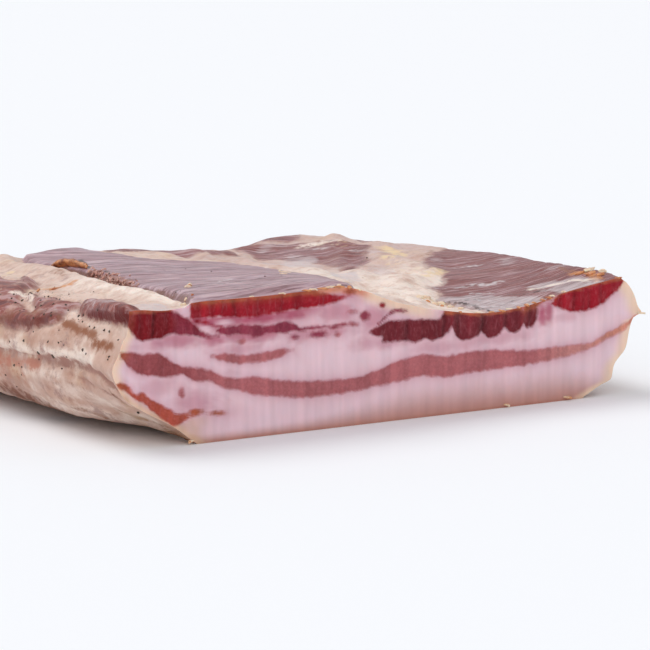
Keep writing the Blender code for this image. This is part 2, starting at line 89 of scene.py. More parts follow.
# Height of the top over (along): at the cut, at mid depth and near the back edge
TOP_AT_CUT = (
    (0, 50.2), (10, 50.6), (22, 49.6), (30, 50.4), (33, 51.8), (60, 51.8), (80, 52.2), (98, 52.6),
    (111, 49.8), (125, 45.4), (143, 40.8), (169, 37.8), (187, 39.3), (205, 43), (222, 45.6), (234, 46.9),
    (245, 46.4),
)
TOP_AT_MIDDLE = (
    (0, 46), (20, 48), (45, 49.5), (90, 50), (130, 48.5), (160, 45.5), (200, 46.5), (230, 49.4), (245, 49.6),
)
TOP_AT_BACK = (
    (0, 45.5), (50, 46.8), (65, 47.4), (80, 49), (101, 48.7), (131, 46.7), (150, 46), (161, 45.2),
    (171, 45.9), (181, 48.1), (200, 50.2), (215, 47.9), (232, 45.6), (245, 45),
)
# How deep the last two are
MIDDLE_DEEP = 75.0
BACK_DEEP = 190.0
# The right end's rim: its rise, and where along and deep it comes and goes
RIM_RISE = 1.5
RIM_ALONG = (205, 240)
RIM_STARTS = (0, 10)
RIM_FADES = (28, 80)

# How far each side stands in from its furthest reach, over the share of the height there
LEFT_AT_CUT = (
    (0, 35), (0.03, 33), (0.146, 25), (0.285, 12), (0.38, 5), (0.47, 2), (0.585, 0), (0.71, 3), (0.79, 4.5),
    (0.83, 6), (1, 7.2),
)
RIGHT_AT_CUT = (
    (0, 30), (0.046, 26), (0.096, 21), (0.14, 15.5), (0.256, 14), (0.4, 8), (0.57, 6), (0.656, 4), (0.685, 0),
    (0.745, 2), (0.845, 4), (0.956, 8), (1, 11),
)
# The left side's foot curls up off the surface below, so that it ends in a lip
LEFT_BEHIND = (
    (0, 46), (0.05, 30), (0.105, 13.5), (0.15, 10), (0.3, 4), (0.46, 0.8), (0.6, 0), (0.7, 0.8), (0.83, 3.5),
    (0.95, 9), (1, 13),
)
RIGHT_BEHIND = (
    (0, 22), (0.15, 13), (0.3, 7), (0.46, 2.6), (0.62, 0.4), (0.7, 0), (0.85, 2.8), (0.95, 7), (1, 10),
)
BACK_WALL = (
    (0, 18), (0.15, 9), (0.3, 3.5), (0.46, 0.8), (0.6, 0), (0.7, 0.4), (0.83, 3.5), (0.95, 8), (1, 12),
)
# How deep the cut's own ends reach, shares of a side's and the back's points on a corner, and how much
# closer the points lie near the cut
CUT_END_REACH = 55.0
SIDE_CORNER_SHARE = 0.16
BACK_CORNER_SHARE = 0.13
CLOSER_NEAR_CUT = 1.35

# The crease round the dried walls
CREASE_SHARE = 0.52
CREASE_STRAY = 0.05
CREASE_HALF_WIDTH = 0.07
CREASE_DEPTH = 1.7
WALL_WAVE = 1.7
WALL_WAVE_SIZE = 25.0
WALL_WAVE_FROM_FOOT = 0.2

# The thin muscle flap on top, the groove at its left and the ridge of fat beyond the groove
FLAP_LEFT = (
    (0, 33), (12, 36), (28, 39), (55, 41), (72, 42), (90, 45), (108, 50), (132, 52), (163, 53), (185, 60),
    (200, 66),
)
FLAP_RIGHT = (
    (0, 104), (15, 115), (30, 122), (46, 125), (62, 119), (78, 116), (98, 115), (110, 108), (118, 100),
    (131, 93), (152, 91), (200, 88),
)
FLAP_END = 190.0
FLAP_END_WAVE = 3.0
FLAP_RISE = 1.8
FLAP_EDGE = 2.2
GROOVE_DEPTH = 4.0
GROOVE_AT_CUT = 0.1
GROOVE_HALF_WIDTH = 3.4
FAT_RIDGE_OFFSET = 9.0
FAT_RIDGE_RISE = 3.2
FAT_RIDGE_HALF_WIDTH = 6.5

# Left edge of the right-hand muscle, as along over (deep), and the oval patch of lean near the back
RIGHT_LEAN_EDGE = ((0, 138), (20, 152), (55, 178), (80, 202), (114, 224), (140, 243), (200, 262))
PATCH_CENTRE = (168, 142)
PATCH_HALF_SIZES = (52, 19)
PATCH_HEADING = (0.42, 0.907)
# How lean dips and fat stands up in lumps, away from the outline, then the whole top's swells
LEAN_DIP = 1.4
DIP_FROM_EDGE = (10, 28)
LUMPS_FROM_EDGE = (14, 34)
FAT_LUMP = 3.0
FAT_LUMP_SIZE = 11.0
FAT_STARTS = (100, 125)
SWELL = 0.9
SWELL_SIZE = 27.0
# The top's rounded edge, which is nearly sharp at the cut
EDGE_ROLL_RADIUS = 17.0
ROLL_ON_CUT = 0.05

# Lean that the cut crosses, each streak a run of (along, foot, top)
MIDDLE_STREAK = (
    (3.6, 33.9, 36.2), (6, 31, 36), (9, 29, 35.5), (13, 27, 34.5), (19, 26, 34.3), (23, 25.5, 32.2),
    (27.5, 26, 29.4), (29.5, 26.2, 28.6), (31.5, 24.5, 28.4), (35.5, 23, 27.8), (41, 22.2, 26.2),
    (47, 19.4, 23.6), (54, 17.7, 22.4), (60, 15.7, 22.2), (71, 14.1, 20), (86, 12.5, 18.4), (103, 12.9, 18),
    (115, 14, 19.9), (125, 14.8, 22.8), (136, 15.9, 24.2), (147, 14.7, 22.7), (162, 15.3, 23.4),
    (191, 16.2, 21.5), (206, 17.5, 21.8), (218, 19.6, 22), (226, 22.4, 24.8), (236, 25.9, 28.2),
    (242, 30, 31.5), (246, 31.2, 32.1),
)
ISLAND_STREAK = (
    (41.5, 31.3, 31.8), (46, 29.3, 32.1), (55, 27.9, 30.8), (65, 27.8, 31.1), (72, 29.1, 31.7),
    (76.5, 30.8, 31.1),
)
UNDER_FLAP_STREAK = (
    (43.6, 40, 41.2), (46, 39.2, 41.5), (48.5, 38.5, 41.8), (52.5, 39, 42), (56, 38, 41.8), (61, 37, 41.4),
    (65.5, 38, 40.7), (70, 37.6, 41.2), (73, 37.7, 41.7), (76.5, 37.9, 41), (80.5, 37.6, 38.8),
    (85, 37.9, 39.1), (92, 37.8, 38.8), (96, 37.1, 38.7), (100.5, 38, 39.4), (102, 38.8, 39.2),
)
SEAM_STREAK = ((34, 44.3, 45.5), (38, 43.4, 44.5), (42, 42.5, 43.4), (45.5, 41.6, 42.2))
LOWER_SEAM_STREAK = ((33, 40.4, 41.2), (37, 38.9, 39.8), (41, 38.3, 39), (44, 38.5, 38.9))
FLAP_STREAK = (
    (32.9, 45.8, 60), (43, 45.7, 60), (58, 44.5, 60), (68, 44.9, 60), (77, 45.8, 60), (83, 46, 54),
    (87, 46.2, 52.2), (91.5, 46.6, 51), (96, 47.1, 49.9), (100, 48.2, 49.2), (102, 48.8, 49),
)
LOWER_STREAK = (
    (2.2, 23.4, 25.4), (5, 22, 24.5), (9, 19.3, 22.2), (13, 17, 20.6), (16, 14, 18.2), (19, 11.6, 16.6),
    (21, 10, 15.4), (25.5, 7.4, 12.7), (28.5, 8.2, 11.8), (31.5, 10, 12.2), (33, 11, 12),
)
RIGHT_OUTLINE = (
    (110.5, 34.9), (116.5, 37.2), (120, 38.6), (126, 38.2), (134, 37.8), (143.5, 36.9), (145.8, 39),
    (148, 44), (182, 44), (184.4, 37.2), (186, 44), (190, 44), (191.4, 37), (191.2, 33), (188.8, 30.4),
    (186.2, 30.6), (184.8, 32.2), (183.2, 30), (180, 29.1), (177.4, 29.6), (175.7, 31.6), (173.6, 29.2),
    (170.5, 28.1), (167, 28.2), (165, 29.8), (164.3, 31), (162.7, 29.2), (159, 28.2), (154.5, 28),
    (152, 29.6), (150.2, 32.6), (149.4, 34.2), (148.3, 32), (145.8, 30.2), (140.5, 29.2), (137.2, 30.2),
    (132.5, 28.9), (128.3, 30.4), (121, 30.3), (116.5, 30.6), (117.5, 32.6), (113, 33.2),
)
RIM_STREAK = ((185, 35.4, 60), (188, 36.6, 60), (191, 38.3, 60), (195, 39.9, 60), (199.5, 41.2, 60))
OVER_RIGHT_STREAK = ((115, 37.7, 38.4), (119, 39.8, 41), (123.5, 41.3, 42.7), (128.5, 41.4, 42.1))
LOBE_OUTLINE = (
    (5.5, 47), (5.5, 54), (24, 54), (24.5, 49.6), (28, 47.6), (31, 45.6), (35, 42.6), (39.8, 39.4),
    (34, 40.2), (28, 41.3), (24.5, 41), (21, 40), (17, 39.4), (13, 39.4), (9.5, 40.8), (7.6, 43.6),
)
NECK_OUTLINE = ((25.5, 48.4), (31, 45.6), (36, 41.8), (40.5, 38.8), (33, 40.2), (26.5, 41.2), (24.5, 44.5))
RIGHT_END_OUTLINE = (
    (198.8, 39), (200.3, 41.5), (202.5, 43), (204.5, 50), (236, 50), (235.2, 44.5), (232, 41.5),
    (228.5, 39.5), (225, 37.2), (221.5, 36), (217.5, 35), (212.5, 35), (207.5, 35.5), (203.5, 37),
    (200.5, 37.8),
)
# Small lean islands on the cut: middle along, middle height, half length, half height and colour
CUT_SPOTS = (
    (28.5, 19, 1.2, 1.9, "rose"), (34.5, 11.7, 3.3, 1.2, "dried"), (44, 10.4, 3, 0.9, "dried"),
    (54.6, 36, 1.8, 0.8, "rose"), (77.4, 35.6, 1.6, 0.9, "mauve"), (88.3, 35.6, 3.8, 1.2, "mauve"),
    (96.9, 35.1, 1.4, 0.6, "rose"), (103.2, 38.4, 2.6, 0.7, "rose"), (109.2, 41, 2.3, 1.7, "mauve"),
    (117, 44.6, 1.3, 1, "crimson"), (102.4, 50.6, 2.6, 1.1, "crimson"), (103.5, 43, 1.8, 0.7, "rose"),
)
# The streaks and outlines that stray alike, with their colours, and how softly two colours meet
STREAKS = (
    ("rose", MIDDLE_STREAK), ("rose", ISLAND_STREAK), ("mauve", UNDER_FLAP_STREAK), ("crimson", SEAM_STREAK),
    ("mauve", LOWER_SEAM_STREAK), ("dried", RIM_STREAK), ("mauve", OVER_RIGHT_STREAK),
)
LEAN_OUTLINES = (("wine", RIGHT_OUTLINE), ("garnet", LOBE_OUTLINE), ("crimson", RIGHT_END_OUTLINE))
STREAK_END = 0.4
SOFT_BLEND = 1.1
# How edges on the cut stray, as layers of (reach, size, seed)
CUT_STRAY_ALONG = ((0.5, 4, 21.5),)
CUT_STRAY_UP = ((0.42, 3.1, 14.2), (0.2, 1.3, 9.9))
TORN_EDGE = ((1.3, 3.4, 27.7),)
# Height of the cut at its two ends, the streak's foot there and that of the lobe over it
LEFT_END_TALL = 50
RIGHT_END_TALL = 45
MIDDLE_STREAK_FOOT = 27
LOBE_FOOT = 38
# Where along the middle streak its darker, paler and salmon ends start and are full
UMBER_FADES = (24, 52)
BLUSH_COMES = (186, 212)
SALMON_COMES = (212, 236)
# Where along the top edge the fat is cream and salmon: the rise and the fall of each
CREAM_RIM = ((104, 112), (134, 146))
SALMON_RIM = ((80, 88), (106, 115))
# Tinges of the clouds in the cut's fat
COOL_FAT = (0.97, 0.99, 1.02, 1)
WARM_FAT = (1.03, 0.99, 0.97, 1)

# Where bundles of muscle part, as (along, lowest, highest, half width, darkness), below zero for a pale seam
BUNDLE_GAPS = (
    (17, 40, 49.5, 0.7, 0.8), (11.5, 42, 49.5, 0.5, 0.3), (22.5, 42, 49.5, 0.5, 0.25),
    (36.5, 45, 52, 0.5, 0.3), (38.2, 45.5, 50.5, 0.6, -0.3), (42.5, 45, 52, 0.5, 0.4),
    (44.1, 45.5, 51, 0.6, -0.3), (46.3, 45, 52, 0.5, 0.35), (48.8, 45.5, 51, 0.7, -0.25),
    (51.4, 45, 52, 0.6, 0.45), (54, 45.5, 51, 0.7, -0.25), (57.6, 45, 52, 0.5, 0.25), (62, 45, 52, 0.5, 0.2),
    (67.2, 45, 52, 0.5, 0.25), (71.8, 45.5, 52, 0.9, 0.4), (75.5, 46.5, 51, 0.7, -0.2),
    (78.2, 46, 52, 0.6, 0.3), (123.2, 30, 38, 0.5, 0.35), (128.2, 30, 38, 0.6, 0.4),
    (136.5, 29, 37.5, 0.6, 0.45), (146.2, 30, 40, 0.8, 0.55), (149.8, 31, 40, 0.7, -0.7),
    (153, 29, 40, 0.7, 0.5), (158.4, 31, 40, 1.2, -0.35), (164.3, 28, 37.6, 0.9, 0.6),
    (173.8, 30, 38, 0.5, -0.5), (176, 30, 40, 0.8, 0.7), (184.6, 29, 40, 0.8, -0.9),
    (187.8, 30.5, 42, 0.8, 0.55), (202.5, 36.5, 43.5, 0.7, 0.4), (205.5, 36.5, 43, 0.6, -0.45),
    (210, 35.5, 43.5, 0.7, 0.55), (213.5, 37, 43.5, 0.6, -0.35), (217.5, 35, 43.5, 0.7, 0.5),
    (223.5, 36, 44, 0.5, 0.35), (230, 39, 45, 0.5, 0.3),
)
# Dried rim along the cut's top edge: how far down it reaches over (along)
DRIED_RIM = (
    (0, 0.7), (9, 1.2), (24, 0.7), (34, 1.2), (78, 1.2), (88, 1.9), (98, 2.9), (106, 2.2), (112, 0.5),
    (134, 0.5), (142, 1.2), (180, 1), (190, 2.4), (199, 1.6), (208, 0.8), (230, 0.9), (237, 1.4), (245, 0.5),
)
# Pink flushes in the fat of the cut: middle along, middle height, half length, half height and strength
FLUSHES = (
    (60, 43.8, 38, 2.6, 1), (40, 43, 8, 4.6, 1), (60, 37.8, 24, 3.2, 0.8), (43, 37.6, 8, 3, 0.85),
    (96, 43.5, 14, 5.5, 0.6), (88, 36.5, 22, 3.5, 0.6), (112, 40.5, 9, 8, 0.6), (52, 33, 12, 3.5, 0.5),
    (48, 24, 14, 3, 0.3), (16, 15.5, 7, 5, 0.4), (120, 30.5, 22, 4, 0.5), (170, 28, 26, 3.5, 0.45),
    (193.5, 36, 4, 6.5, 1), (197, 36.5, 3.5, 6, 0.9), (17, 38, 13, 2.4, 0.35), (206, 33.5, 10, 2.5, 0.35),
    (101, 49.5, 9, 2.6, 0.7), (18, 22, 12, 5, 0.4), (34, 15, 17, 6, 0.52), (27, 13, 9, 5, 0.35),
    (10, 37.5, 8, 2.4, 0.35), (183, 36, 4, 6, 0.8), (145.5, 38, 4, 5, 0.5), (27, 38.3, 17, 3.8, 0.72),
    (146, 26.5, 24, 3.4, 0.42),
)
# How far below the flap its own flush reaches
FLAP_FLUSH_REACH = 4.6
# Clear fat inside the flushes: middle along, middle height, half length and half height
CLEAR_FAT = ((38.4, 41.3, 3.2, 1.5), (47, 43.4, 3, 0.8))
# How far up the tan-pink fat by the skin, with painted shade along the cut's foot, reaches over (along)
LOW_FAT = ((0, 3), (40, 3.5), (80, 4.5), (105, 7.5), (140, 13), (200, 13), (225, 9), (245, 6))

# Height of the edge between the top and the walls, higher at the left, and where along it has come down
EDGE_HEIGHT = 44.0
LEFT_EDGE_HEIGHT = 52.0
LEFT_EDGE_ENDS = (60, 120)
# Heights between which the top's looks turn into those of the walls
WALL_STARTS = (34, 44)
# The points, as (along, deep), that the fibres of the muscles fan out from
FLAP_FAN = (210, 25)
LOBE_FAN = (60, -60)
RIGHT_FAN = (338, 15)
# Muscles on the dried outside: colour name, fan of the fibres and outline. Outlines are in the plan unrolled
# over the slab's edge, so a place on a wall counts as that much further out.
MUSCLES = (
    ("lobe", LOBE_FAN, (
        (2, -5), (0.5, 4), (0, 12), (-0.5, 20), (-0.5, 30), (1, 38), (4, 43), (9, 45), (13, 41), (14.5, 32),
        (14.5, 20), (13.5, 10), (12.5, 4), (12, -5),
    )),
    ("lobe", LOBE_FAN, (
        (16, 117), (31, 131), (26, 112), (16, 97), (11, 91), (9, 82), (9, 74), (9.5, 60), (10.5, 49),
        (8, 43.5), (4, 45), (2, 50), (-4, 48), (-10, 51), (-15, 63), (-17, 80), (-16, 92), (-15, 112),
        (-10, 132), (4, 147), (22, 146), (20, 130),
    )),
    ("lobe", LOBE_FAN, ((-12, 156), (12, 156), (30, 168), (28, 190), (6, 204), (-16, 180))),
    ("brown", RIGHT_FAN, (
        (98, 178), (118, 169), (138, 165), (152, 160), (158, 168), (152, 184), (136, 206), (96, 208),
    )),
    ("brown", RIGHT_FAN, (
        (164, 172), (161, 155), (166, 147), (168, 135), (171, 124), (167, 106), (161, 94), (163, 87),
        (174, 97), (184, 106), (190, 116), (197, 127), (204, 133), (208, 142), (202, 152), (197, 160),
        (192, 172), (200, 184), (200, 210), (166, 214),
    )),
    ("brown", RIGHT_FAN, (
        (168, -4), (168.5, 10), (170, 18), (168, 26), (165, 33), (172, 37), (175, 43), (171, 48), (181, 52),
        (188, 57), (191, 62), (196, 68), (190, 72), (197, 86), (206, 97), (215, 104), (228, 114), (252, 128),
        (262, 100), (262, 30), (246, 14), (240, -4),
    )),
    ("brown", RIGHT_FAN, ((214, 152), (230, 146), (262, 156), (262, 196), (236, 214), (216, 188))),
)
# Layers of (reach, size, seed): how those outlines stray, the clouds and lumps of fat, and torn tissue
OUTLINE_STRAY = ((1.8, 7, 33.1), (0.8, 2.6, 12.7))
CLOUDS = ((1, 9, 51.2), (0.6, 4, 29.4))
DRIED_FAT_LUMPS = ((0.55, 8, 5.5), (0.3, 3.4, 1.7))
RAGGED_TISSUE = ((1.5, 3, 2.4), (0.8, 1.7, 6.6))

# Veins of fat that cross the lean of the top, as lines of unrolled plan places with a half width
FAT_VEINS = (
    (((17, 98), (9, 93), (3, 88), (1, 82), (-3, 74)), 1.3),
    (((176, 184), (184, 178), (191, 172), (196, 160)), 1.3),
)
# Silvery membrane on the top, in unrolled plan
FILM_OUTLINES = (
    ((11, 29), (19, 18), (26, 10), (25, 2), (25, -4), (13, -4), (11, 4), (10.5, 19)),
    ((200, 15), (210, 13), (220, 11), (227, 4), (228, -4), (203, -4), (202, 6)),
    ((163, 35), (175, 36), (186, 31), (191, 22), (195, 13), (199, 5), (198, -4), (168, -4), (168, 10),
     (170, 18), (167, 27)),
    ((134, 46), (150, 56), (156, 72), (150, 84), (138, 70)),
    ((124, 102), (126, 94), (131, 83), (135, 80), (142, 90), (152, 103), (161, 115), (170, 126), (180, 135),
     (177, 143), (166, 141), (156, 134), (144, 122)),
    ((204, 26), (214, 24), (226, 17), (226, 4), (212, 10), (204, 16)),
)
# Thinner membrane, which shows only along the fibres
HAZE_OUTLINES = (
    ((168, 168), (172, 182), (184, 184), (196, 172), (192, 164), (180, 172)),
    ((158, 96), (166, 110), (174, 128), (184, 142), (176, 156), (164, 150), (150, 128)),
    ((178, 102), (181, 90), (180, 78), (170, 62), (160, 66), (165, 84)),
    ((198, 76), (204, 96), (215, 100), (211, 82)), ((216, 56), (222, 72), (232, 68), (228, 56)),
    ((218, 36), (224, 44), (238, 34), (230, 26)),
)
# Painted shadow in the openings where membrane has lifted, and in cracks: a line and its half width
SLITS = (
    (((167, 31), (171, 27), (174, 24)), 0.7), (((173, 26), (175, 19), (172, 10), (170, 2)), 0.9),
    (((170, 23), (168.5, 14), (169, 8)), 0.5), (((193, 21), (198, 13), (204, 12), (207, 10)), 0.6),
    (((69, 150), (62, 134), (57.5, 121)), 1.1), (((18, 89), (22, 86.5)), 0.8), (((52, 103), (54, 100)), 1.1),
    (((50, 92), (52.5, 90)), 1), (((47, 74), (48.5, 71)), 0.7),
    (((52, 28), (70, 33), (86, 40), (96, 39), (101, 32)), 0.5),
)
# Paint on the outside: colour name, line of unrolled plan places, half width and strength
STAINS = (
    # Darkest lean with painted shade along the feet of the lobes
    ("shaded_liver", ((3, -4), (2.5, 4), (2, 14), (1.5, 26)), 3.2, 1), ("shaded_liver", ((1.5, 26), (1, 36)), 2.2, 0.8),
    ("shaded_liver", ((-13, 88), (-13, 74), (-10, 62), (-5, 52)), 3, 0.75),
    ("rust", ((-8, 56), (-6, 50), (0, 47)), 2.2, 0.6), ("rust", ((-14, 82), (-14, 72), (-11, 60)), 1.6, 0.5),
    ("pale_fat", ((5, 97), (7, 90), (5, 83)), 2.4, 0.8), ("yellow", ((26, 140), (34, 146)), 3, 0.6),
    ("tan", ((-15, 98), (-13, 88), (-8, 76), (-4, 60), (-3, 50)), 2.7, 0.75),
    ("tan", ((8, 68), (8, 56), (8, 47)), 1.6, 0.6), ("tan", ((-6.5, 45), (-8.5, 34), (-9.5, 22)), 4, 1),
    ("tan", ((-14, 17), (-14, 8)), 3.2, 1), ("orange", ((17, 90), (21, 88), (25, 85.5), (30, 84)), 2.3, 1),
    ("tan", ((52, 128), (60, 146), (67, 157)), 2.4, 0.6),
    ("tan", ((39, 119), (39, 111), (36, 102)), 1.3, 0.6),
    ("orange", ((226, 20), (229, 17), (228, 12), (226, 5)), 2.3, 0.85),
    ("tan", ((228, 32), (227, 22)), 1.6, 0.7), ("orange", ((132, -1), (137, 3), (141, 9)), 1.6, 0.5),
    ("yellow", ((207, 128), (207, 121), (203, 112)), 4.2, 0.85),
    ("pale_fat", ((187, 164), (193, 157), (197, 152)), 3.4, 0.9),
    ("yellow", ((190, 100), (194, 106)), 3.2, 0.75), ("yellow", ((180, 74), (187, 90), (200, 112)), 10, 0.28),
    ("yellow", ((196, 72), (188, 64), (181, 62)), 3.6, 0.7),
    ("yellow", ((192, 153), (197, 146), (198, 139)), 2.6, 0.5),
    ("yellow", ((159, 33), (165, 29), (167, 22)), 3, 0.7), ("tan", ((187, 88), (195, 84)), 1.7, 0.6),
    ("flap", ((172, 96), (176, 83), (171, 70)), 5, 0.5),
    # Painted shade beside the slits in the membrane
    ("crease", ((167, 30), (170, 22), (171, 14)), 2.4, 0.6),
    ("tan", ((203, 100), (211, 102), (221, 111)), 1.3, 0.6),
    # Painted highlight on the top of the front lobe, in the film's colour
    ("film", ((8, 36), (6.5, 30), (7, 22), (9, 14)), 2.6, 0.55),
    ("film", ((-3, 64), (-2, 56), (0, 50)), 2, 0.4),
    ("film", ((62, 33), (76, 45), (86, 52), (98, 53), (112, 61)), 0.8, 0.7),
    ("film", ((183, 33), (190, 30), (193, 20)), 0.7, 0.9),
    ("film", ((182, 22), (183, 10), (187, 4)), 0.7, 0.9),
    ("pale_fat", ((203, 19), (212, 17), (219, 14), (224, 5)), 2, 0.9),
    ("film", ((202, 75), (209, 72), (215, 68)), 1, 0.8),
    ("film", ((186, 152), (192, 141), (195, 128)), 2.2, 0.6),
    ("film", ((190, 45), (196, 41), (204, 39)), 0.9, 0.8),
    ("film", ((176, 47), (189, 42), (201, 37)), 0.8, 0.8),
    ("shadow", ((166, 34), (172, 30), (180, 25)), 0.5, 0.5),
    ("shadow", ((178, 20), (184, 13), (190, 8)), 0.5, 0.5),
    ("film", ((170, 33), (178, 27), (184, 20)), 0.5, 0.9),
    ("film", ((174, 22), (177, 13), (180, 6)), 0.6, 0.9), ("film", ((206, 9), (214, 4), (224, 2)), 0.6, 0.7),
    # The creases and folds of the left wall, from the top down; the creases' colour is painted shade
    ("crease", ((-26.5, 112), (-26, 80), (-25, 56)), 0.9, 0.75),
    ("crease", ((-25.2, 60), (-25, 42), (-24, 18), (-26, 10), (-28, 6), (-31, 1)), 1.8, 0.95),
    ("salmon", ((-30.5, 112), (-30, 90), (-29, 72), (-28, 60)), 3, 0.85),
    ("salmon", ((-35, 106), (-35, 86), (-34, 74)), 3.6, 0.5),
    ("tan", ((-31, 48), (-31, 37), (-32.5, 28)), 1, 0.55),
    ("crease", ((-28, 37), (-30, 22), (-32, 16), (-33.5, 12), (-36, 9), (-38, 5)), 1.3, 0.75),
    ("tan", ((-42, 50), (-43, 40), (-45, 33)), 1.3, 0.65),
    ("tan", ((-40, 22), (-44, 12), (-47, 4)), 1.8, 0.7), ("crease", ((-33, 14), (-37, 8), (-42, 3)), 2, 0.85),
    ("rust", ((-31, 7), (-34, 4.5), (-40, 1)), 1.5, 0.7),
    ("rust", ((-41, 106), (-43, 92), (-46, 80), (-48, 66)), 4.2, 0.85),
    ("yellow", ((-40, 3), (-41, 12), (-46, 22)), 4, 0.3),
)
# Pepper grains that stand out on the left wall, as (deep, height, diameter)
WALL_GRAINS = (
    (69, 32, 1.2), (82, 30, 0.8), (50, 34, 0.9), (57, 29, 1.5), (47, 29, 1.7), (60, 26, 0.8), (37, 30, 0.7),
    (39, 34, 0.7), (25, 34, 1.2), (22, 33, 0.8), (16, 42, 1.1), (12, 42, 1), (23, 42, 0.9), (27, 42, 0.7),
    (40, 44, 1.1), (6, 34, 0.9), (6, 33, 0.7), (81, 21, 1), (90, 16, 0.9), (76, 18, 0.7), (85, 12, 0.7),
    (58, 43, 0.9), (64, 41, 0.8), (63, 36, 0.7), (10, 12, 1.2), (4, 40, 0.8), (33, 43, 0.8), (36, 45, 0.9),
    (50, 45, 0.8), (54, 44, 0.7), (71, 44, 0.8), (78, 42, 0.7),
)
# Grains on the top, as (along, deep, diameter)
TOP_GRAINS = (
    (12, 89, 1.2), (15, 88, 1), (9, 92, 0.9), (10, 70, 0.9), (8, 66, 1), (9, 58, 0.9), (11, 52, 0.8),
    (49, 97, 1), (51, 91, 1), (14, 85, 0.8), (11, 94, 0.8), (7, 78, 0.7), (13, 63, 0.7),
)
# A grain's length, width and height as shares of its diameter
GRAIN_SHARES = (1.15, 0.85, 0.7)
# How strewn bits are shaped, with sizes in metres
PEPPER_SHAPE = {"Flatness": 0.8, "Tilt": math.pi, "Raggedness": 0.0006, "Subdivisions": 1}
TISSUE_SHAPE = {
    "Smallest": 0.0006, "Largest": 0.0026, "Flatness": 0.35, "Tilt": 0.5, "Raggedness": 0.0016,
    "Subdivisions": 2, "Seed": 11,
}
CM2_PER_M2 = 10000
# Where rays that look for the surface start: above it, and to its left
LOOK_DOWN_FROM = 200
LOOK_IN_FROM = -150
# Lumps that sit on the top: along, deep, then length, width, height and heading in degrees
CREAM_LUMPS = (
    (161, 32, 4.8, 3, 2.2, 30), (166, 30, 4.2, 2.8, 2, 60), (156, 30, 4.2, 2.4, 1.6, 20),
    (159, 24, 3.2, 2.4, 1.8, 70), (162, 19, 3, 2, 1.5, 10), (167, 25, 3.4, 1.8, 1.2, 40),
    (164, 14, 2.6, 1.8, 1.2, 0), (231, 18, 6.5, 3.6, 2, 80), (233, 12, 5, 3, 1.8, 80),
    (51, 31, 3, 2, 1.6, 30), (54, 35, 2.2, 1.6, 1.2, 80), (103, 46, 4.4, 1, 0.8, 15),
    (109, 55, 4.8, 1.1, 0.8, 30), (111, 62, 3.6, 0.9, 0.7, 10), (37, 9, 2.6, 1.8, 1.2, 30),
    (33, 4, 2.4, 1.7, 1.3, 60), (205, 1.6, 2.4, 1.6, 1, 0), (87, 1.6, 3.4, 1.4, 0.9, 0),
    (95, 1.8, 4.2, 1.6, 1, 8), (99, 2.4, 3, 1.3, 0.8, 30), (107, 1.2, 3.4, 1.4, 0.8, 0),
    (60, 1, 2.2, 0.9, 0.7, 0), (73, 1, 2.6, 0.9, 0.7, 0), (187, 1.6, 3.2, 1.3, 0.9, 0),
    (178, 1.4, 3, 1.2, 0.8, 0), (199, 1.4, 3.2, 1.2, 0.9, 0), (163, 1.6, 2.6, 1.2, 0.8, 0),
)
ORANGE_LUMPS = (
    (157, 26, 2, 1.2, 1.3, 60), (160, 21, 1.7, 1.2, 1.1, 20), (226, 18, 4.4, 2.8, 1.8, 70),
    (228, 13, 4.6, 3, 2, 85), (229, 8, 3.8, 2.6, 1.7, 95), (53, 33, 1.6, 1.1, 1.2, 10), (38, 6, 1.6, 1, 1, 0),
    (24, 86, 6, 1.7, 1.4, -35), (19, 89, 3.6, 1.3, 1.1, -30), (84, 0.9, 4, 1.2, 1, 0),
    (91, 0.9, 4.6, 1.3, 1.1, 0), (98, 0.9, 4.8, 1.3, 1.2, 0), (103, 1.2, 4.4, 1.6, 1.3, 0),
    (182, 0.9, 3.8, 1.2, 1, 0), (186, 0.9, 3.6, 1.2, 1.1, 0), (190, 1, 4, 1.3, 1.1, 0),
    (194, 0.9, 3.6, 1.2, 1.1, 0), (197, 1, 3.2, 1.2, 1, 0), (169, 0.9, 3, 1, 0.8, 0),
    (174, 0.9, 3.4, 1, 0.9, 0), (154, 0.9, 2.6, 1, 0.8, 0), (232, 0.9, 3.4, 1.2, 0.9, 0),
)
# The edge of the flap that has curled up at its far left, as a path of (along, deep), and the curl's size
FLAKE_PATH = ((55, 150), (56.5, 141), (58, 131), (58.5, 121))
FLAKE_HEIGHT = 3.4
FLAKE_CURL = 2.6
FLAKE_RETURN = 1.6
FLAKE_SUNK = 0.6
FLAKE_THICKNESS = 0.5
FLAKE_ROWS = 25
FLAKE_COLUMNS = 9
# Small tags of skin at the slab's edges: (along, deep, height), length, width, way out and droop
SKIN_TAGS = (
    ((243, 0.8, 32), 3, 2.2, (0.92, -0.1, -0.12), 0), ((176, 0.3, 1.2), 2, 2.2, (0.1, -0.9, 0.1), 0.35),
    ((206, 0.4, 1.4), 2.4, 3, (0.3, -0.9, -0.1), 0), ((34, 0.6, 1.4), 2.2, 1.8, (-0.8, -0.5, 0.1), 0.35),
)
TAG_THICKNESS = 0.7
TAG_ROOT = 0.4
TAG_ROWS = 9
TAG_COLUMNS = 5
# Pale fat between the folds of the left wall and on the top: line, half width and strength
PALE_FAT = (
    (((-31, 72), (-30, 52), (-30, 40)), 2.4, 0.5), (((-35, 44), (-35, 32), (-37, 22), (-41, 19)), 3.2, 0.5),
    (((-43, 74), (-43, 50), (-44, 26), (-44, 8)), 2.6, 0.7), (((28, 92), (29, 62)), 4.4, 0.4),
    (((30, 60), (31, 44), (31, 26), (32, 14), (31, 2)), 5, 0.9), (((4, 50), (3, 42)), 3, 0.7),
    (((-24, 92), (-23, 63), (-22, 40), (-21, 17)), 2.8, 0.8),
    (((142, 44), (155, 42), (161, 36), (164, 28), (164, 17)), 3.6, 0.9), (((118, 20), (130, 40)), 2.4, 0.5),
    (((140, 18), (150, 32)), 3, 0.8),
)

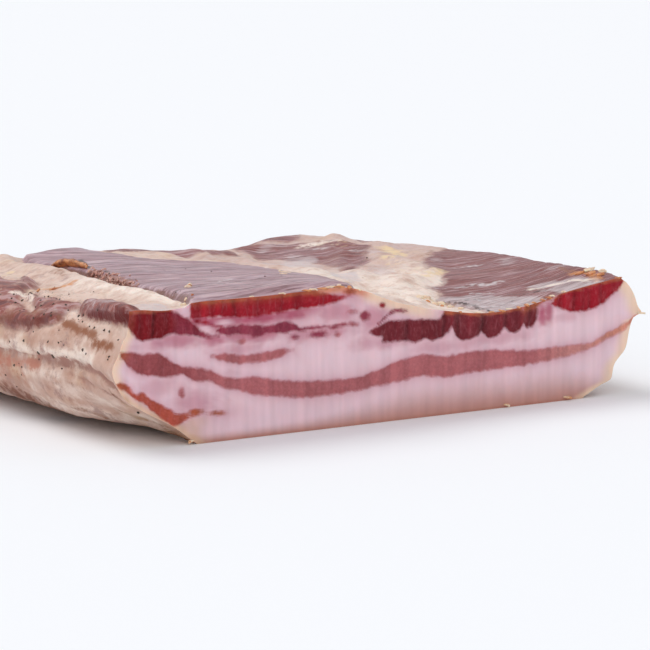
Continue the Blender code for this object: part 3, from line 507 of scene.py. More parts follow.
# The photograph's viewpoint: place in metres, turn to the right of +Y and tilt below level in degrees
CAMERA_PLACE = (-0.5774, -0.9242, 0.1801)
CAMERA_TURN = 33.533
CAMERA_TILT = 8.115
SENSOR_WIDTH = 36.0
FURTHEST_SEEN = 200.0
SKY_COLOUR = (0.965, 0.98, 1.0, 1)
# Lamps: name, the place that they shine from and their spread in degrees
LAMPS = (("key", (-0.35, 0.7, 1.2), 40), ("fill", (-0.6, -1.5, 0.9), 60))


def linear(hex_colour):
    """Linear red, green and blue of an sRGB hex colour such as "#C8A0A0"."""
    parts = (int(hex_colour[i : i + 2], 16) / 255 for i in (1, 3, 5))
    return tuple(c / 12.92 if c <= 0.04045 else ((c + 0.055) / 1.055) ** 2.4 for c in parts)


def tint(name, description, hex_colour):
    """A colour that a user can change."""
    return FloatVectorProperty(
        name=name, description=description, subtype="COLOR", size=3, min=0, max=1, default=linear(hex_colour)
    )


class PancettaMeat(bpy.types.PropertyGroup):
    """Colours of the slab"""

    fat: tint("Fat", "Fresh-cut back fat", "#E9CBD3")
    flush: tint("Flush", "Fat stained pink beside lean", "#B25A70")
    # Tan-pink fat near the skin, also painted shade along the cut's foot
    skin_fat_and_shade: tint("Low Fat", "Fat near the skin, tan-pink", "#B98374")
    corner: tint("Corner Fat", "Tan fat at the cut's low left corner", "#CBA68E")
    lip: tint("Lip", "Fat dried salmon where the flap thins out", "#D28A6E")
    edge_fat: tint("Edge Fat", "Fat that has dried along the edges of the cut", "#ECCFB4")
    rose: tint("Rose Lean", "Lean of the thick middle streak", "#AE6468")
    mauve: tint("Mauve Lean", "Darker lean of the thin streak under the flap", "#8C3448")
    umber: tint("Umber Lean", "Darker left end of the middle streak", "#8E3E42")
    blush: tint("Blush Lean", "Paler right end of the middle streak", "#D0908A")
    crimson: tint("Crimson Lean", "Moist lean of the flap", "#970C20")
    garnet: tint("Garnet Lean", "Deep moist lean of the lobe", "#7A0A16")
    wine: tint("Wine Lean", "Deep lean of the right-hand muscle", "#701F29")
    dried: tint("Dried Lean", "Lean dried orange-brown at an edge", "#A8583C")
    brick: tint("Brick Lean", "Dried lean of the low streak by the skin", "#AC4E3E")
    fleck: tint("Flecks", "Flecks of fat in fresh-cut lean", "#B9707A")
    glint: tint("Glint", "Light that the paler patches of fresh-cut lean add", "#5C3C3E")
    outer_fat: tint("Outer Fat", "Air-dried cream fat", "#DCC0B2")
    wall_fat: tint("Wall Fat", "Air-dried fat of the walls", "#CDAB9C")
    yellow: tint("Yellow Fat", "Yellowed lumps of the outer fat", "#E8CBA0")
    pale_fat: tint("Pale Fat", "Cleanest fat", "#F3E2D6")
    stained_fat: tint("Stained Fat", "Brownish clouds in the outer fat", "#B98C78")
    flap: tint("Flap", "Air-dried lean of the flap", "#A9848D")
    lobe: tint("Lobe", "Air-dried lean of the lobes at the left", "#93544A")
    brown: tint("Brown", "Air-dried lean of the right-hand muscle", "#86423E")
    bloom: tint("Bloom", "Grey bloom over dried lean", "#B59AA6")
    # Painted shade on the fibre bundles that lie deep, and a painted highlight on those that stand out
    fibre_shade: tint("Dark Fibres", "Bundles of dried fibres that lie deep", "#6E4546")
    fibre_highlight: tint("Pale Fibres", "Bundles of dried fibres that stand out", "#CFB3B6")
    fat_patch: tint("Fat Patches", "Fat that shows through the lobes", "#C4A092")
    lean_patch: tint("Lean Patches", "Lean that shows through the fat round the lobes", "#A27D76")
    # Also painted as a highlight on the front lobe's top
    film: tint("Film", "Silvery membrane over the lean", "#D2C4C6")
    # The creases' mauve is painted shade in the folds of the walls
    crease: tint("Crease", "Mauve of the creases in the walls", "#A4786C")
    salmon: tint("Salmon", "Pinkish folds of the walls", "#B87866")
    tan: tint("Tan", "Tan rims of the muscles", "#936048")
    rust: tint("Rust", "Rust-brown tissue", "#7E4C3A")
    orange: tint("Orange", "Fat dried orange", "#D08A54")
    # Darkest lean, with painted shade below the lobes
    shaded_liver: tint("Liver", "Darkest lean, below the lobe", "#6A2524")
    shadow: tint("Shadow", "Inside of slits and cracks", "#3A2624")
    torn_tissue: tint("Torn Tissue", "Ragged tissue beside the flap", "#A06E64")
    # Painted shade in the groove beside the flap
    groove: tint("Groove", "Bottom of the groove beside the flap", "#7E5245")
    dust: tint("Pepper Dust", "Pepper too fine to be grains", "#4A3B33")
    rind: tint("Rind", "Cured skin underneath", "#C99A76")
    dark_rind: tint("Dark Rind", "Darker clouds in the cured skin", "#A87A5C")
    subsurface: FloatProperty(
        name="Subsurface", description="Share of light that scatters inside", default=0.35, min=0, max=1
    )


class PancettaPepper(bpy.types.PropertyGroup):
    """Colours, amount and sizes of the pepper"""

    colour: tint("Colour", "Dark husk of the pepper", "#4E4037")
    broken: tint("Broken Faces", "Paler insides of the cracked pepper", "#7A6550")
    per_cm2: FloatProperty(
        name="Per cm2", description="Bits on each square centimetre where it is thickest", default=7.0, min=0
    )
    smallest: FloatProperty(
        name="Smallest", description="Diameter of the finest bits", default=0.0003, min=0, unit="LENGTH"
    )
    largest: FloatProperty(
        name="Largest", description="Diameter of the coarsest bits", default=0.0013, min=0, unit="LENGTH"
    )
    seed: IntProperty(name="Seed", description="Picks where the bits fall", default=4)


class PancettaBits(bpy.types.PropertyGroup):
    """Colours and amount of the loose bits"""

    tissue: tint("Tissue", "Ragged dried tissue in the groove", "#BD887C")
    pale_tissue: tint("Pale Tissue", "Paler side of the ragged tissue", "#CFA698")
    crumb: tint("Crumb", "Crumbs of fat along the edges", "#EFD9BE")
    dull_crumb: tint("Dull Crumb", "Darker side of the crumbs of fat", "#DFBFA4")
    orange: tint("Orange", "Crumbs and a flake dried orange", "#D49260")
    burnt: tint("Burnt Orange", "Darker side of the orange crumbs", "#B56A44")
    brown: tint("Brown", "Darker side of the flake", "#8A5038")
    tissue_per_cm2: FloatProperty(
        name="Tissue per cm2", description="Shreds on each square centimetre of groove", default=44.0, min=0
    )


class PancettaStage(bpy.types.PropertyGroup):
    """Floor, lights and lens"""

    floor_size: FloatProperty(
        name="Floor Size", description="Width of the floor", default=60.0, min=1, unit="LENGTH"
    )
    floor: tint("Floor", "Plain pale floor", "#F4F5F8")
    sky_strength: FloatProperty(
        name="Sky Strength", description="Light from all round", default=0.66, min=0
    )
    key_strength: FloatProperty(
        name="Key Strength", description="Soft light from behind and above", default=1.25, min=0
    )
    fill_strength: FloatProperty(
        name="Fill Strength", description="Weak light on the cut", default=0.5, min=0
    )
    lens: FloatProperty(
        name="Lens", description="Focal length in millimetres on a 36 mm sensor", default=149.54, min=1
    )


def smooth_through(stations, at):
    """A smooth curve through (place, value) stations, flat past its ends, with no overshoot between them."""
    places, values = (np.array(column, float) for column in zip(*stations))
    spans = np.diff(places)
    rates = np.diff(values) / spans
    before, after = rates[:-1], rates[1:]
    turning = before * after <= 0
    slopes = np.zeros_like(values)
    slopes[1:-1] = np.where(turning, 0.0, 2 * before * after / np.where(turning, 1.0, before + after))
    at = np.clip(np.asarray(at, float), places[0], places[-1])
    i = np.clip(np.searchsorted(places, at, side="right") - 1, 0, len(spans) - 1)
    t = (at - places[i]) / spans[i]
    rise = values[i + 1] - values[i]
    bend = t * (1 - t) * ((1 - t) * (slopes[i] * spans[i] - rise) - t * (slopes[i + 1] * spans[i] - rise))
    return values[i] + t * rise + bend


def ease(value, start, end):
    """0 up to start, 1 from end on, and a smooth rise between them."""
    t = np.clip((value - start) / (end - start), 0, 1)
    return t * t * (3 - 2 * t)


def between(value, rise, fall):
    """1 from the end of the rise to the start of the fall, each (start, end), and 0 outside them."""
    return ease(value, *rise) * (1 - ease(value, *fall))


def bump_at(value, middle, half_width):
    """1 at the middle, falling off smoothly on both sides of it."""
    return np.exp(-(((value - middle) / half_width) ** 2))


def wobble(along, deep, height, size, seed):
    """Smooth noise from about -1 to 1, whose bumps are about size across."""
    points = np.broadcast_arrays(np.asarray(along, float), deep, height)
    flat = np.stack([part.ravel() for part in points], 1) / size
    made = [noise.noise(Vector((x + seed, y - seed, z + 0.37 * seed))) for x, y, z in flat]
    return np.array(made).reshape(points[0].shape)


def wobbles(along, deep, height, layers):
    """Layers of smooth noise added up, each given as (reach, size, seed)."""
    return sum(reach * wobble(along, deep, height, size, seed) for reach, size, seed in layers)


def from_line(across, up, line):
    """Distance from an open line of points."""
    nearest = np.full(np.shape(across), np.inf)
    for (x0, y0), (x1, y1) in zip(line, line[1:]):
        dx, dy = x1 - x0, y1 - y0
        t = np.clip(((across - x0) * dx + (up - y0) * dy) / (dx * dx + dy * dy), 0, 1)
        nearest = np.minimum(nearest, np.hypot(across - x0 - t * dx, up - y0 - t * dy))
    return nearest


def inside_outline(across, up, outline):
    """Distance into a closed outline from its nearest edge, below zero outside it."""
    closed = outline + outline[:1]
    inside = np.zeros(np.shape(across), bool)
    for (x0, y0), (x1, y1) in zip(closed, closed[1:]):
        if y1 != y0:
            inside ^= ((y0 > up) != (y1 > up)) & (across < x0 + (up - y0) * (x1 - x0) / (y1 - y0))
    nearest = from_line(across, up, closed)
    return np.where(inside, nearest, -nearest)


def inside_oval(across, up, middle_across, middle_up, half_across, half_up):
    """Roughly the distance into an oval, below zero outside it."""
    outward = np.hypot((across - middle_across) / half_across, (up - middle_up) / half_up)
    return (1 - outward) * min(half_across, half_up)


def foot_of(stations):
    """The lower edge of a streak of (along, foot, top) stations."""
    return [(along, foot) for along, foot, _ in stations]


def inside_streak(along, height, stations):
    """Distance into a streak of (along, foot, top) stations, below zero outside it."""
    foot = smooth_through(foot_of(stations), along)
    top = smooth_through([(place, upper) for place, _, upper in stations], along)
    before_end = np.minimum(along - stations[0][0], stations[-1][0] - along)
    return np.minimum(np.minimum(height - foot, top - height), before_end + STREAK_END)


def unrolled(along, deep, height):
    """Plan places that carry on over the slab's edge: a place on a wall counts as that much further out."""
    out_along = along - np.clip(along, BACK_CORNER_RADIUS, LENGTH - BACK_CORNER_RADIUS)
    out_deep = deep - np.minimum(deep, DEPTH - BACK_CORNER_RADIUS)
    reach = np.hypot(out_along, out_deep) + 1e-6
    edge = EDGE_HEIGHT + (LEFT_EDGE_HEIGHT - EDGE_HEIGHT) * (1 - ease(along, *LEFT_EDGE_ENDS))
    fall = np.maximum(edge - height, 0) * ease(reach, 0, 12)
    on_wall = (1 - ease(height, *WALL_STARTS)) * ease(reach, 0, 6)
    further = (fall + (BACK_CORNER_RADIUS - reach) * on_wall) / reach
    return along + out_along * further, deep + out_deep * further


def inside_edge(along, deep):
    """How far a point of the plan lies inside the slab's outline, whose two back corners are round."""
    half = LENGTH / 2
    from_side = half - np.abs(along - half)
    from_back = DEPTH - deep
    corner = BACK_CORNER_RADIUS - np.hypot(
        np.maximum(BACK_CORNER_RADIUS - from_side, 0), np.maximum(BACK_CORNER_RADIUS - from_back, 0)
    )
    near_corner = np.minimum(from_side, from_back) < BACK_CORNER_RADIUS
    return np.where(near_corner, corner, np.minimum(from_side, from_back))


def inside_flap(along, deep):
    """Distance into the muscle flap from its nearest edge, below zero outside it."""
    left = along - smooth_through(FLAP_LEFT, deep)
    right = smooth_through(FLAP_RIGHT, deep) - along
    back = FLAP_END - deep + FLAP_END_WAVE * np.sin(along / 14)
    return np.minimum(np.minimum(left, right), back)


def inside_patch(along, deep):
    """Distance into the oval patch of lean near the back, below zero outside it."""
    dx, dy = along - PATCH_CENTRE[0], deep - PATCH_CENTRE[1]
    lengthwise = (dx * PATCH_HEADING[0] + dy * PATCH_HEADING[1]) / PATCH_HALF_SIZES[0]
    across = (dx * PATCH_HEADING[1] - dy * PATCH_HEADING[0]) / PATCH_HALF_SIZES[1]
    return (1 - np.hypot(lengthwise, across)) * PATCH_HALF_SIZES[1]


def top_height(along, deep):
    """Height of the top: three lofted profiles, then the muscles, seams and fat that stand out of them."""
    near = ease(deep, 0, MIDDLE_DEEP)
    far = ease(deep, MIDDLE_DEEP, BACK_DEEP)
    height = smooth_through(TOP_AT_CUT, along) * (1 - near) + smooth_through(TOP_AT_MIDDLE, along) * near
    height = height * (1 - far) + smooth_through(TOP_AT_BACK, along) * far

    behind_cut = ease(deep, 0, 8)
    flap = inside_flap(along, deep)
    to_groove = along - smooth_through(FLAP_LEFT, deep)
    opens = GROOVE_AT_CUT + (1 - GROOVE_AT_CUT) * ease(deep, 2, 30)
    opens = opens * (1 - ease(deep, FLAP_END - 30, FLAP_END))
    height += FLAP_RISE * ease(flap, 0, FLAP_EDGE) * behind_cut
    height -= GROOVE_DEPTH * bump_at(to_groove, -1, GROOVE_HALF_WIDTH) * opens
    height += FAT_RIDGE_RISE * bump_at(to_groove, -FAT_RIDGE_OFFSET, FAT_RIDGE_HALF_WIDTH) * ease(deep, 2, 30)
    height += RIM_RISE * ease(along, *RIM_ALONG) * between(deep, RIM_STARTS, RIM_FADES)

    right_lean = along - smooth_through(RIGHT_LEAN_EDGE, deep)
    patch = inside_patch(along, deep)
    from_edge = inside_edge(along, deep)
    height -= LEAN_DIP * ease(right_lean, -3, 6) * ease(deep, 4, 30) * ease(from_edge, *DIP_FROM_EDGE)
    height -= LEAN_DIP * ease(patch, -2, 5) * ease(from_edge, *DIP_FROM_EDGE)
    fat_zone = ease(-flap, 0, 8) * ease(along, *FAT_STARTS) * ease(-right_lean, -2, 8) * ease(-patch, 0, 6)
    fat_zone = fat_zone * ease(from_edge, *LUMPS_FROM_EDGE)
    height += FAT_LUMP * fat_zone * wobble(along, deep * 0.7, 0, FAT_LUMP_SIZE, 3.1)
    height += SWELL * wobble(along, deep, 0, SWELL_SIZE, 8.4) * ease(deep, 0, 15)

    roll = np.clip(1 - from_edge / EDGE_ROLL_RADIUS, 0, 0.95)
    drop = EDGE_ROLL_RADIUS * (1 - np.sqrt(1 - roll**2))
    return height - drop * (ROLL_ON_CUT + (1 - ROLL_ON_CUT) * ease(deep, 4, 50))


def inset(side, share, deep):
    """How far the left, right or back wall stands in at this share of the height, without its crease."""
    if side == "back":
        return smooth_through(BACK_WALL, share)
    at_cut, behind = (LEFT_AT_CUT, LEFT_BEHIND) if side == "left" else (RIGHT_AT_CUT, RIGHT_BEHIND)
    mix = ease(deep, 0, CUT_END_REACH)
    return smooth_through(at_cut, share) * (1 - mix) + smooth_through(behind, share) * mix


def uneven(along, deep, share):
    """What the crease and the meat's own waviness add to a wall's inset."""
    crease_at = CREASE_SHARE + CREASE_STRAY * wobble(along, deep, 0, 38, 11.2)
    depth = CREASE_DEPTH * (1 + wobble(along, deep, 7, 45, 4.6))
    wave = WALL_WAVE * wobble(along, deep, share * 40, WALL_WAVE_SIZE, 5.7)
    crease = depth * bump_at(share, crease_at, CREASE_HALF_WIDTH)
    return crease + wave * ease(share, 0, WALL_WAVE_FROM_FOOT)


def side_line(side, t, share):
    """Plan points of a side wall, from the cut (t = 0) to the middle of the round back corner (t = 1)."""
    to_corner = 1 - SIDE_CORNER_SHARE
    deep = (DEPTH - BACK_CORNER_RADIUS) * np.minimum(t / to_corner, 1.0) ** CLOSER_NEAR_CUT
    angle = np.clip((t - to_corner) / SIDE_CORNER_SHARE, 0, 1) * np.pi / 4
    turned = ease(angle, 0, np.pi / 4)
    own, back = inset(side, share, deep), inset("back", share, deep)
    reach = own + (back - own) / 2 * turned
    reach = reach + uneven(0 if side == "left" else LENGTH, deep, share) * ease(deep, 4, 40) * (1 - turned)
    outward = (BACK_CORNER_RADIUS - reach) * np.cos(angle)
    onward = (BACK_CORNER_RADIUS - reach) * np.sin(angle)
    across = BACK_CORNER_RADIUS - outward
    return (across if side == "left" else LENGTH - across), deep + onward


def back_line(t, share):
    """Plan points of the back wall, from the middle of its left corner (t = 0) to that of its right one."""
    angle = np.pi / 4 + np.clip(np.minimum(t, 1 - t) / BACK_CORNER_SHARE, 0, 1) * np.pi / 4
    straight = np.clip((t - BACK_CORNER_SHARE) / (1 - 2 * BACK_CORNER_SHARE), 0, 1)
    turned = ease(angle, np.pi / 4, np.pi / 2)
    own = inset("back", share, DEPTH)
    side = np.where(t < 0.5, inset("left", share, DEPTH), inset("right", share, DEPTH))
    middle = BACK_CORNER_RADIUS + (LENGTH - 2 * BACK_CORNER_RADIUS) * straight
    reach = own + (side - own) / 2 * (1 - turned) + uneven(middle, DEPTH, share) * turned
    swing = (BACK_CORNER_RADIUS - reach) * np.cos(angle)
    along = middle - np.where(t < 0.5, swing, -swing)
    return along, DEPTH - BACK_CORNER_RADIUS + (BACK_CORNER_RADIUS - reach) * np.sin(angle)


def cut_columns(start, end):
    """Places along the cut from its left to its right end, with one on each edge of the flap."""
    flap_start, flap_end = FLAP_LEFT[0][1], FLAP_RIGHT[0][1]
    left = np.linspace(start, flap_start, LOBE_CELLS + 1)
    over_flap = np.linspace(flap_start, flap_end, FLAP_CELLS + 1)
    right = np.linspace(flap_end, end, RIGHT_CELLS + 1)
    return np.concatenate([left, over_flap[1:], right[1:]])


def cut_face():
    """Along and height of every point of the cut, row by row from its top edge down."""
    start = inset("left", SHARES, np.zeros(1))
    end = LENGTH - inset("right", SHARES, np.zeros(1))
    columns = cut_columns(start[0], end[0])
    across = (columns - columns[0]) / (columns[-1] - columns[0])
    along = start[:, None] + (end - start)[:, None] * across[None, :]
    return along, SHARES[:, None] * top_height(columns, np.zeros_like(columns))[None, :]


def drawn_to_flap(along, deep):
    """Moves the grid's columns sideways so that two of them run down the flap's two edges."""
    columns = np.arange(ALONG_CELLS + 1)
    drawn = along.copy()
    for row in range(DEEP_CELLS + 1):
        held = 1 - ease(deep[LOBE_CELLS, row], FLAP_END - 20, DEPTH)
        shifts = [0.0]
        for column, edge in ((LOBE_CELLS, FLAP_LEFT), (LOBE_CELLS + FLAP_CELLS, FLAP_RIGHT)):
            shifts.append((smooth_through(edge, deep[column, row]) - along[column, row]) * held)
        shifts.append(0.0)
        stations = (0, LOBE_CELLS, LOBE_CELLS + FLAP_CELLS, ALONG_CELLS)
        drawn[:, row] += np.interp(columns, stations, shifts)
    return drawn


def top_grid(front, left, right, back):
    """Plan points of the top, filled in between its four edges."""
    a = np.linspace(0, 1, ALONG_CELLS + 1)[:, None]
    b = np.linspace(0, 1, DEEP_CELLS + 1)[None, :]
    filled = []
    for axis in (0, 1):
        f, k, l, r = (line[axis] for line in (front, back, left, right))
        between_ends = (1 - b) * f[:, None] + b * k[:, None]
        between_sides = (1 - a) * l[None, :] + a * r[None, :]
        corners = (1 - a) * (1 - b) * f[0] + a * (1 - b) * f[-1] + (1 - a) * b * k[0] + a * b * k[-1]
        filled.append(between_ends + between_sides - corners)
    along, deep = filled
    return drawn_to_flap(along, deep), deep


def slab_points():
    """All points in mm: the top grid, then the rings of the walls from the top down."""
    share = SHARES[:, None]
    cut_along, cut_heights = cut_face()
    front = np.stack([cut_along, np.zeros_like(cut_along), cut_heights], 2)
    walls = []
    for side in ("left", "right"):
        x, y = side_line(side, np.linspace(0, 1, DEEP_CELLS + 1)[None, :], share)
        y = np.broadcast_to(y, x.shape)
        walls.append(np.stack([x, y, top_height(x[0], y[0])[None, :] * share], 2))
    left, right = walls
    x, y = back_line(np.linspace(0, 1, ALONG_CELLS + 1)[None, :], share)
    back = np.stack([x, y, top_height(x[0], y[0])[None, :] * share], 2)

    # The side walls and the back wall share one edge at each round corner
    for side_wall, end in ((left, 0), (right, -1)):
        side_wall[:, -1] = back[:, end] = (side_wall[:, -1] + back[:, end]) / 2

    plan = top_grid(*[(w[0][:, 0], w[0][:, 1]) for w in (front, left, right, back)])
    top = np.stack([*plan, top_height(*plan)], 2)
    top[:, 0], top[:, -1], top[0, :], top[-1, :] = front[0], back[0], left[0], right[0]
    points = [top.reshape(-1, 3)]
    for row in range(1, WALL_ROWS + 1):
        points.append(np.concatenate([front[row][:-1], right[row][:-1], back[row][:0:-1], left[row][:0:-1]]))
    return np.concatenate(points)


def slab_faces():
    """Faces over slab_points(), with 0 for those of the cut, 1 for the outside and 2 for the underside."""
    nx, ny = ALONG_CELLS, DEEP_CELLS
    grid = np.arange(GRID_POINTS).reshape(nx + 1, ny + 1)
    corners = [grid[:-1, :-1], grid[1:, :-1], grid[1:, 1:], grid[:-1, 1:]]
    quads = [np.stack([c.ravel() for c in corners], 1)]
    parts = [np.ones(nx * ny, int)]
    ring = np.concatenate([grid[:-1, 0], grid[-1, :-1], grid[:0:-1, -1], grid[0, :0:-1]])
    on_cut = np.arange(RING_POINTS) < nx
    for row in range(WALL_ROWS):
        below = GRID_POINTS + row * RING_POINTS + np.arange(RING_POINTS)
        quads.append(np.stack([ring, below, np.roll(below, -1), np.roll(ring, -1)], 1))
        parts.append(np.where(on_cut, 0, 1))
        ring = below
    faces = np.concatenate(quads).tolist()
    faces.append(ring[::-1].tolist())
    return faces, np.append(np.concatenate(parts), 2)


def cut_rim(point_count):
    """True for the points on the cut's sharp edge."""
    on_rim = np.zeros(point_count, bool)
    on_rim[np.arange(ALONG_CELLS + 1) * (DEEP_CELLS + 1)] = True
    for row in range(WALL_ROWS):
        first = GRID_POINTS + row * RING_POINTS
        on_rim[[first, first + ALONG_CELLS]] = True
    on_rim[first:] = True
    return on_rim


def blend_colours(distances, colours):
    """Colour of each point: that of the shape it lies deepest in, blended softly where two meet."""
    weights = np.exp(np.clip(np.stack(distances), -30, 8) / SOFT_BLEND)
    weights /= weights.sum(0)
    return np.einsum("sp,sc->pc", weights, np.array(colours))


def layered(base, colours, layers):
    """Colour of each point after layers of (colour name, amount) are mixed over it in turn."""
    for name, amount in layers:
        base = base + (colours[name] - base) * np.clip(amount, 0, 1)[:, None]
    return base


def cut_flush(along, height, lean, blotches):
    """How pink the fat of the cut is: round lean, in the flushes and under the flap."""
    flush = 0.42 * np.exp(-np.maximum(-lean, 0) / 2.0)
    for *oval, strength in FLUSHES:
        depth = inside_oval(along, height, *oval) / min(oval[2:])
        flush = np.maximum(flush, strength * ease(depth + blotches, -0.35, 0.85))
    below_flap = smooth_through(foot_of(FLAP_STREAK), along) - height
    by_flap = bump_at(below_flap, 0, FLAP_FLUSH_REACH) * (below_flap > 0) * ease(along, 31, 34)
    by_flap *= 0.95 - 0.55 * ease(along, 76, 100)
    flush = np.maximum(flush, by_flap * (1 - ease(along, 108, 116)))
    for clear in CLEAR_FAT:
        flush *= 1 - 0.75 * ease(inside_oval(along, height, *clear), -0.8, 0.6)
    return flush


def cut_fields(along, height, top, colours):
    """What the cut's material reads: distance into lean, the colours of lean and fat, and dark lines."""
    stray_along = along + wobbles(along, 0, height, CUT_STRAY_ALONG)
    stray_height = height + wobbles(along, 0, height, CUT_STRAY_UP)
    torn = wobbles(along, 0, height, TORN_EDGE)
    shapes = [(inside_streak(stray_along, stray_height, stations), name) for name, stations in STREAKS]
    shapes += [(inside_outline(stray_along, stray_height, outline), name) for name, outline in LEAN_OUTLINES]
    shapes += [(inside_oval(stray_along, stray_height, *oval), name) for *oval, name in CUT_SPOTS]
    shapes += [
        (inside_streak(along, stray_height, FLAP_STREAK), "crimson"),
        (inside_streak(stray_along, stray_height + torn, LOWER_STREAK) - 0.5 * np.abs(torn), "brick"),
        (inside_outline(stray_along, stray_height, NECK_OUTLINE) + 0.4, "mauve"),
    ]
    distances = [distance for distance, _ in shapes]
    lean = np.max(distances, 0)

    # Lean dries orange-brown at the left end and along the top edge
    left_edge = along - smooth_through([(s * LEFT_END_TALL, x) for s, x in LEFT_AT_CUT], height)
    right_edge = LENGTH - smooth_through([(s * RIGHT_END_TALL, x) for s, x in RIGHT_AT_CUT], height) - along
    upper = height > LOBE_FOOT
    left_end = 1 - ease(np.where(height < MIDDLE_STREAK_FOOT, along - 2, left_edge), 1, 7 - 3 * upper)
    under_top = top - height
    rim = smooth_through(DRIED_RIM, along) * (1 + 0.7 * wobble(along, 0, 0, 3.5, 6.1))
    in_middle = ease(distances[0], -1.0, 0.5)
    lean_colour = layered(blend_colours(distances, [colours[name] for _, name in shapes]), colours, (
        ("umber", 0.75 * in_middle * (1 - ease(along, *UMBER_FADES))),
        ("blush", 0.75 * in_middle * ease(along, *BLUSH_COMES)),
        ("lip", 0.7 * in_middle * ease(along, *SALMON_COMES)),
        ("dried", (0.85 - 0.6 * upper) * left_end),
        ("dried", 0.3 * (1 - ease(under_top, 0.6, 4)) * between(along, (32, 34), (60, 104))),
        ("dried", 0.9 * (1 - ease(under_top, 0.5 * rim, 1.3 * rim))),
    ))

    blotches = 0.35 * wobble(along, 0, height, 6, 2.7) + 0.2 * wobble(along, 0, height * 1.5, 2.4, 7.1)
    low = 1 - height / smooth_through(LOW_FAT, along)
    cream = np.maximum(1 - ease(left_edge, 0.8, 5), 1 - ease(right_edge, 1, 8))
    cream = np.maximum(cream, (1 - ease(under_top, 1.5, 6)) * between(along, *CREAM_RIM))
    corner = smooth_through(foot_of(LOWER_STREAK), along) - height + 2.0 * blotches
    corner = ease(corner, -1.0, 2.5) * (1 - ease(along, 30, 44))
    corner = np.maximum(corner, (1 - ease(left_edge, 2, 9)) * (1 - ease(height, 16, 24)))
    corner *= 0.75 + 0.5 * wobble(along, 0, height, 3.5, 31.4)
    fat_colour = layered(np.broadcast_to(colours["fat"], (len(along), 3)), colours, (
        ("flush", cut_flush(along, height, lean, blotches)),
        # Tan-pink fat by the skin, with painted shade near the foot
        ("skin_fat_and_shade", 0.95 * ease(low + 0.1 * blotches, -0.15, 1.1)),
        ("edge_fat", 0.85 * cream),
        ("corner", 0.9 * corner),
        ("lip", 0.95 * (1 - ease(under_top, 0.8, 3.2)) * between(along, *SALMON_RIM)),
        ("dried", 0.35 * (1 - ease(height, 0.3, 1.2))),
    ))

    shade = np.zeros_like(along)
    for middle, lowest, highest, half, darkness in BUNDLE_GAPS:
        bent = along - middle - 0.8 * wobble(height, middle, 0, 5, 1.3)
        reach = between(height, (lowest - 1, lowest + 1), (highest - 1, highest + 1))
        shade += darkness * bump_at(bent, 0, half) * reach
    return {
        "cut_lean": lean, "cut_lean_colour": lean_colour, "cut_fat_colour": fat_colour, "cut_shade": shade,
    }


def fanned(along, deep, fan):
    """Places read along and across fibres that fan out from one point, in mm."""
    dx, dy = fan[0] - along, deep - fan[1]
    reach = np.hypot(fan[0] - LENGTH / 2, 60.0)
    return np.hypot(dx, dy), np.arctan2(dy, np.abs(dx)) * reach


def outer_lean(at, colours):
    """How the outside's muscles lie: distance into them, their colour, fibres, bloom, mottling and gloss."""
    flap = np.where(at.on_top, 2.4 * (inside_flap(at.along, at.deep) + 0.4), -30)
    distances = [flap] + [inside_outline(at.u, at.v, outline) + at.stray for _, _, outline in MUSCLES]
    names = ["flap"] + [name for name, _, _ in MUSCLES]
    fans = [FLAP_FAN] + [fan for _, fan, _ in MUSCLES]
    lean = np.max(distances, 0)
    nearest = np.argmax(distances, 0)
    every = np.arange(len(nearest))
    fibres = np.array([fanned(at.along, at.deep, fan) for fan in fans])
    by_left = np.maximum(1 - ease(at.u, 14, 30), ease(at.v, 84, 100) * (1 - ease(at.u, 34, 44)))
    mottled = np.maximum(by_left, 0.55 * ease(at.deep, 60, 90) * (nearest != 0))
    mottled *= (1 - ease(lean, 8, 16) * (1 - by_left)) * (0.35 + 0.65 * ease(at.v, 8, 40))
    for line, half in FAT_VEINS:
        lean = np.minimum(lean, from_line(at.u, at.v, line) + 0.8 * at.stray - half)
    return {
        "outer_lean": lean,
        "outer_lean_colour": blend_colours(distances, [colours[name] for name in names]),
        "fibre": np.stack([fibres[nearest, 0, every], fibres[nearest, 1, every], at.height], 1),
        "outer_bloom": np.where(nearest == 0, 1.0, np.where(at.u < 30, 0.1, 0.4)),
        "outer_mottled": mottled,
        "outer_gloss": 0.25 + 0.75 * ease(inside_edge(at.along, at.deep), 6, 22) * at.on_top,
    }


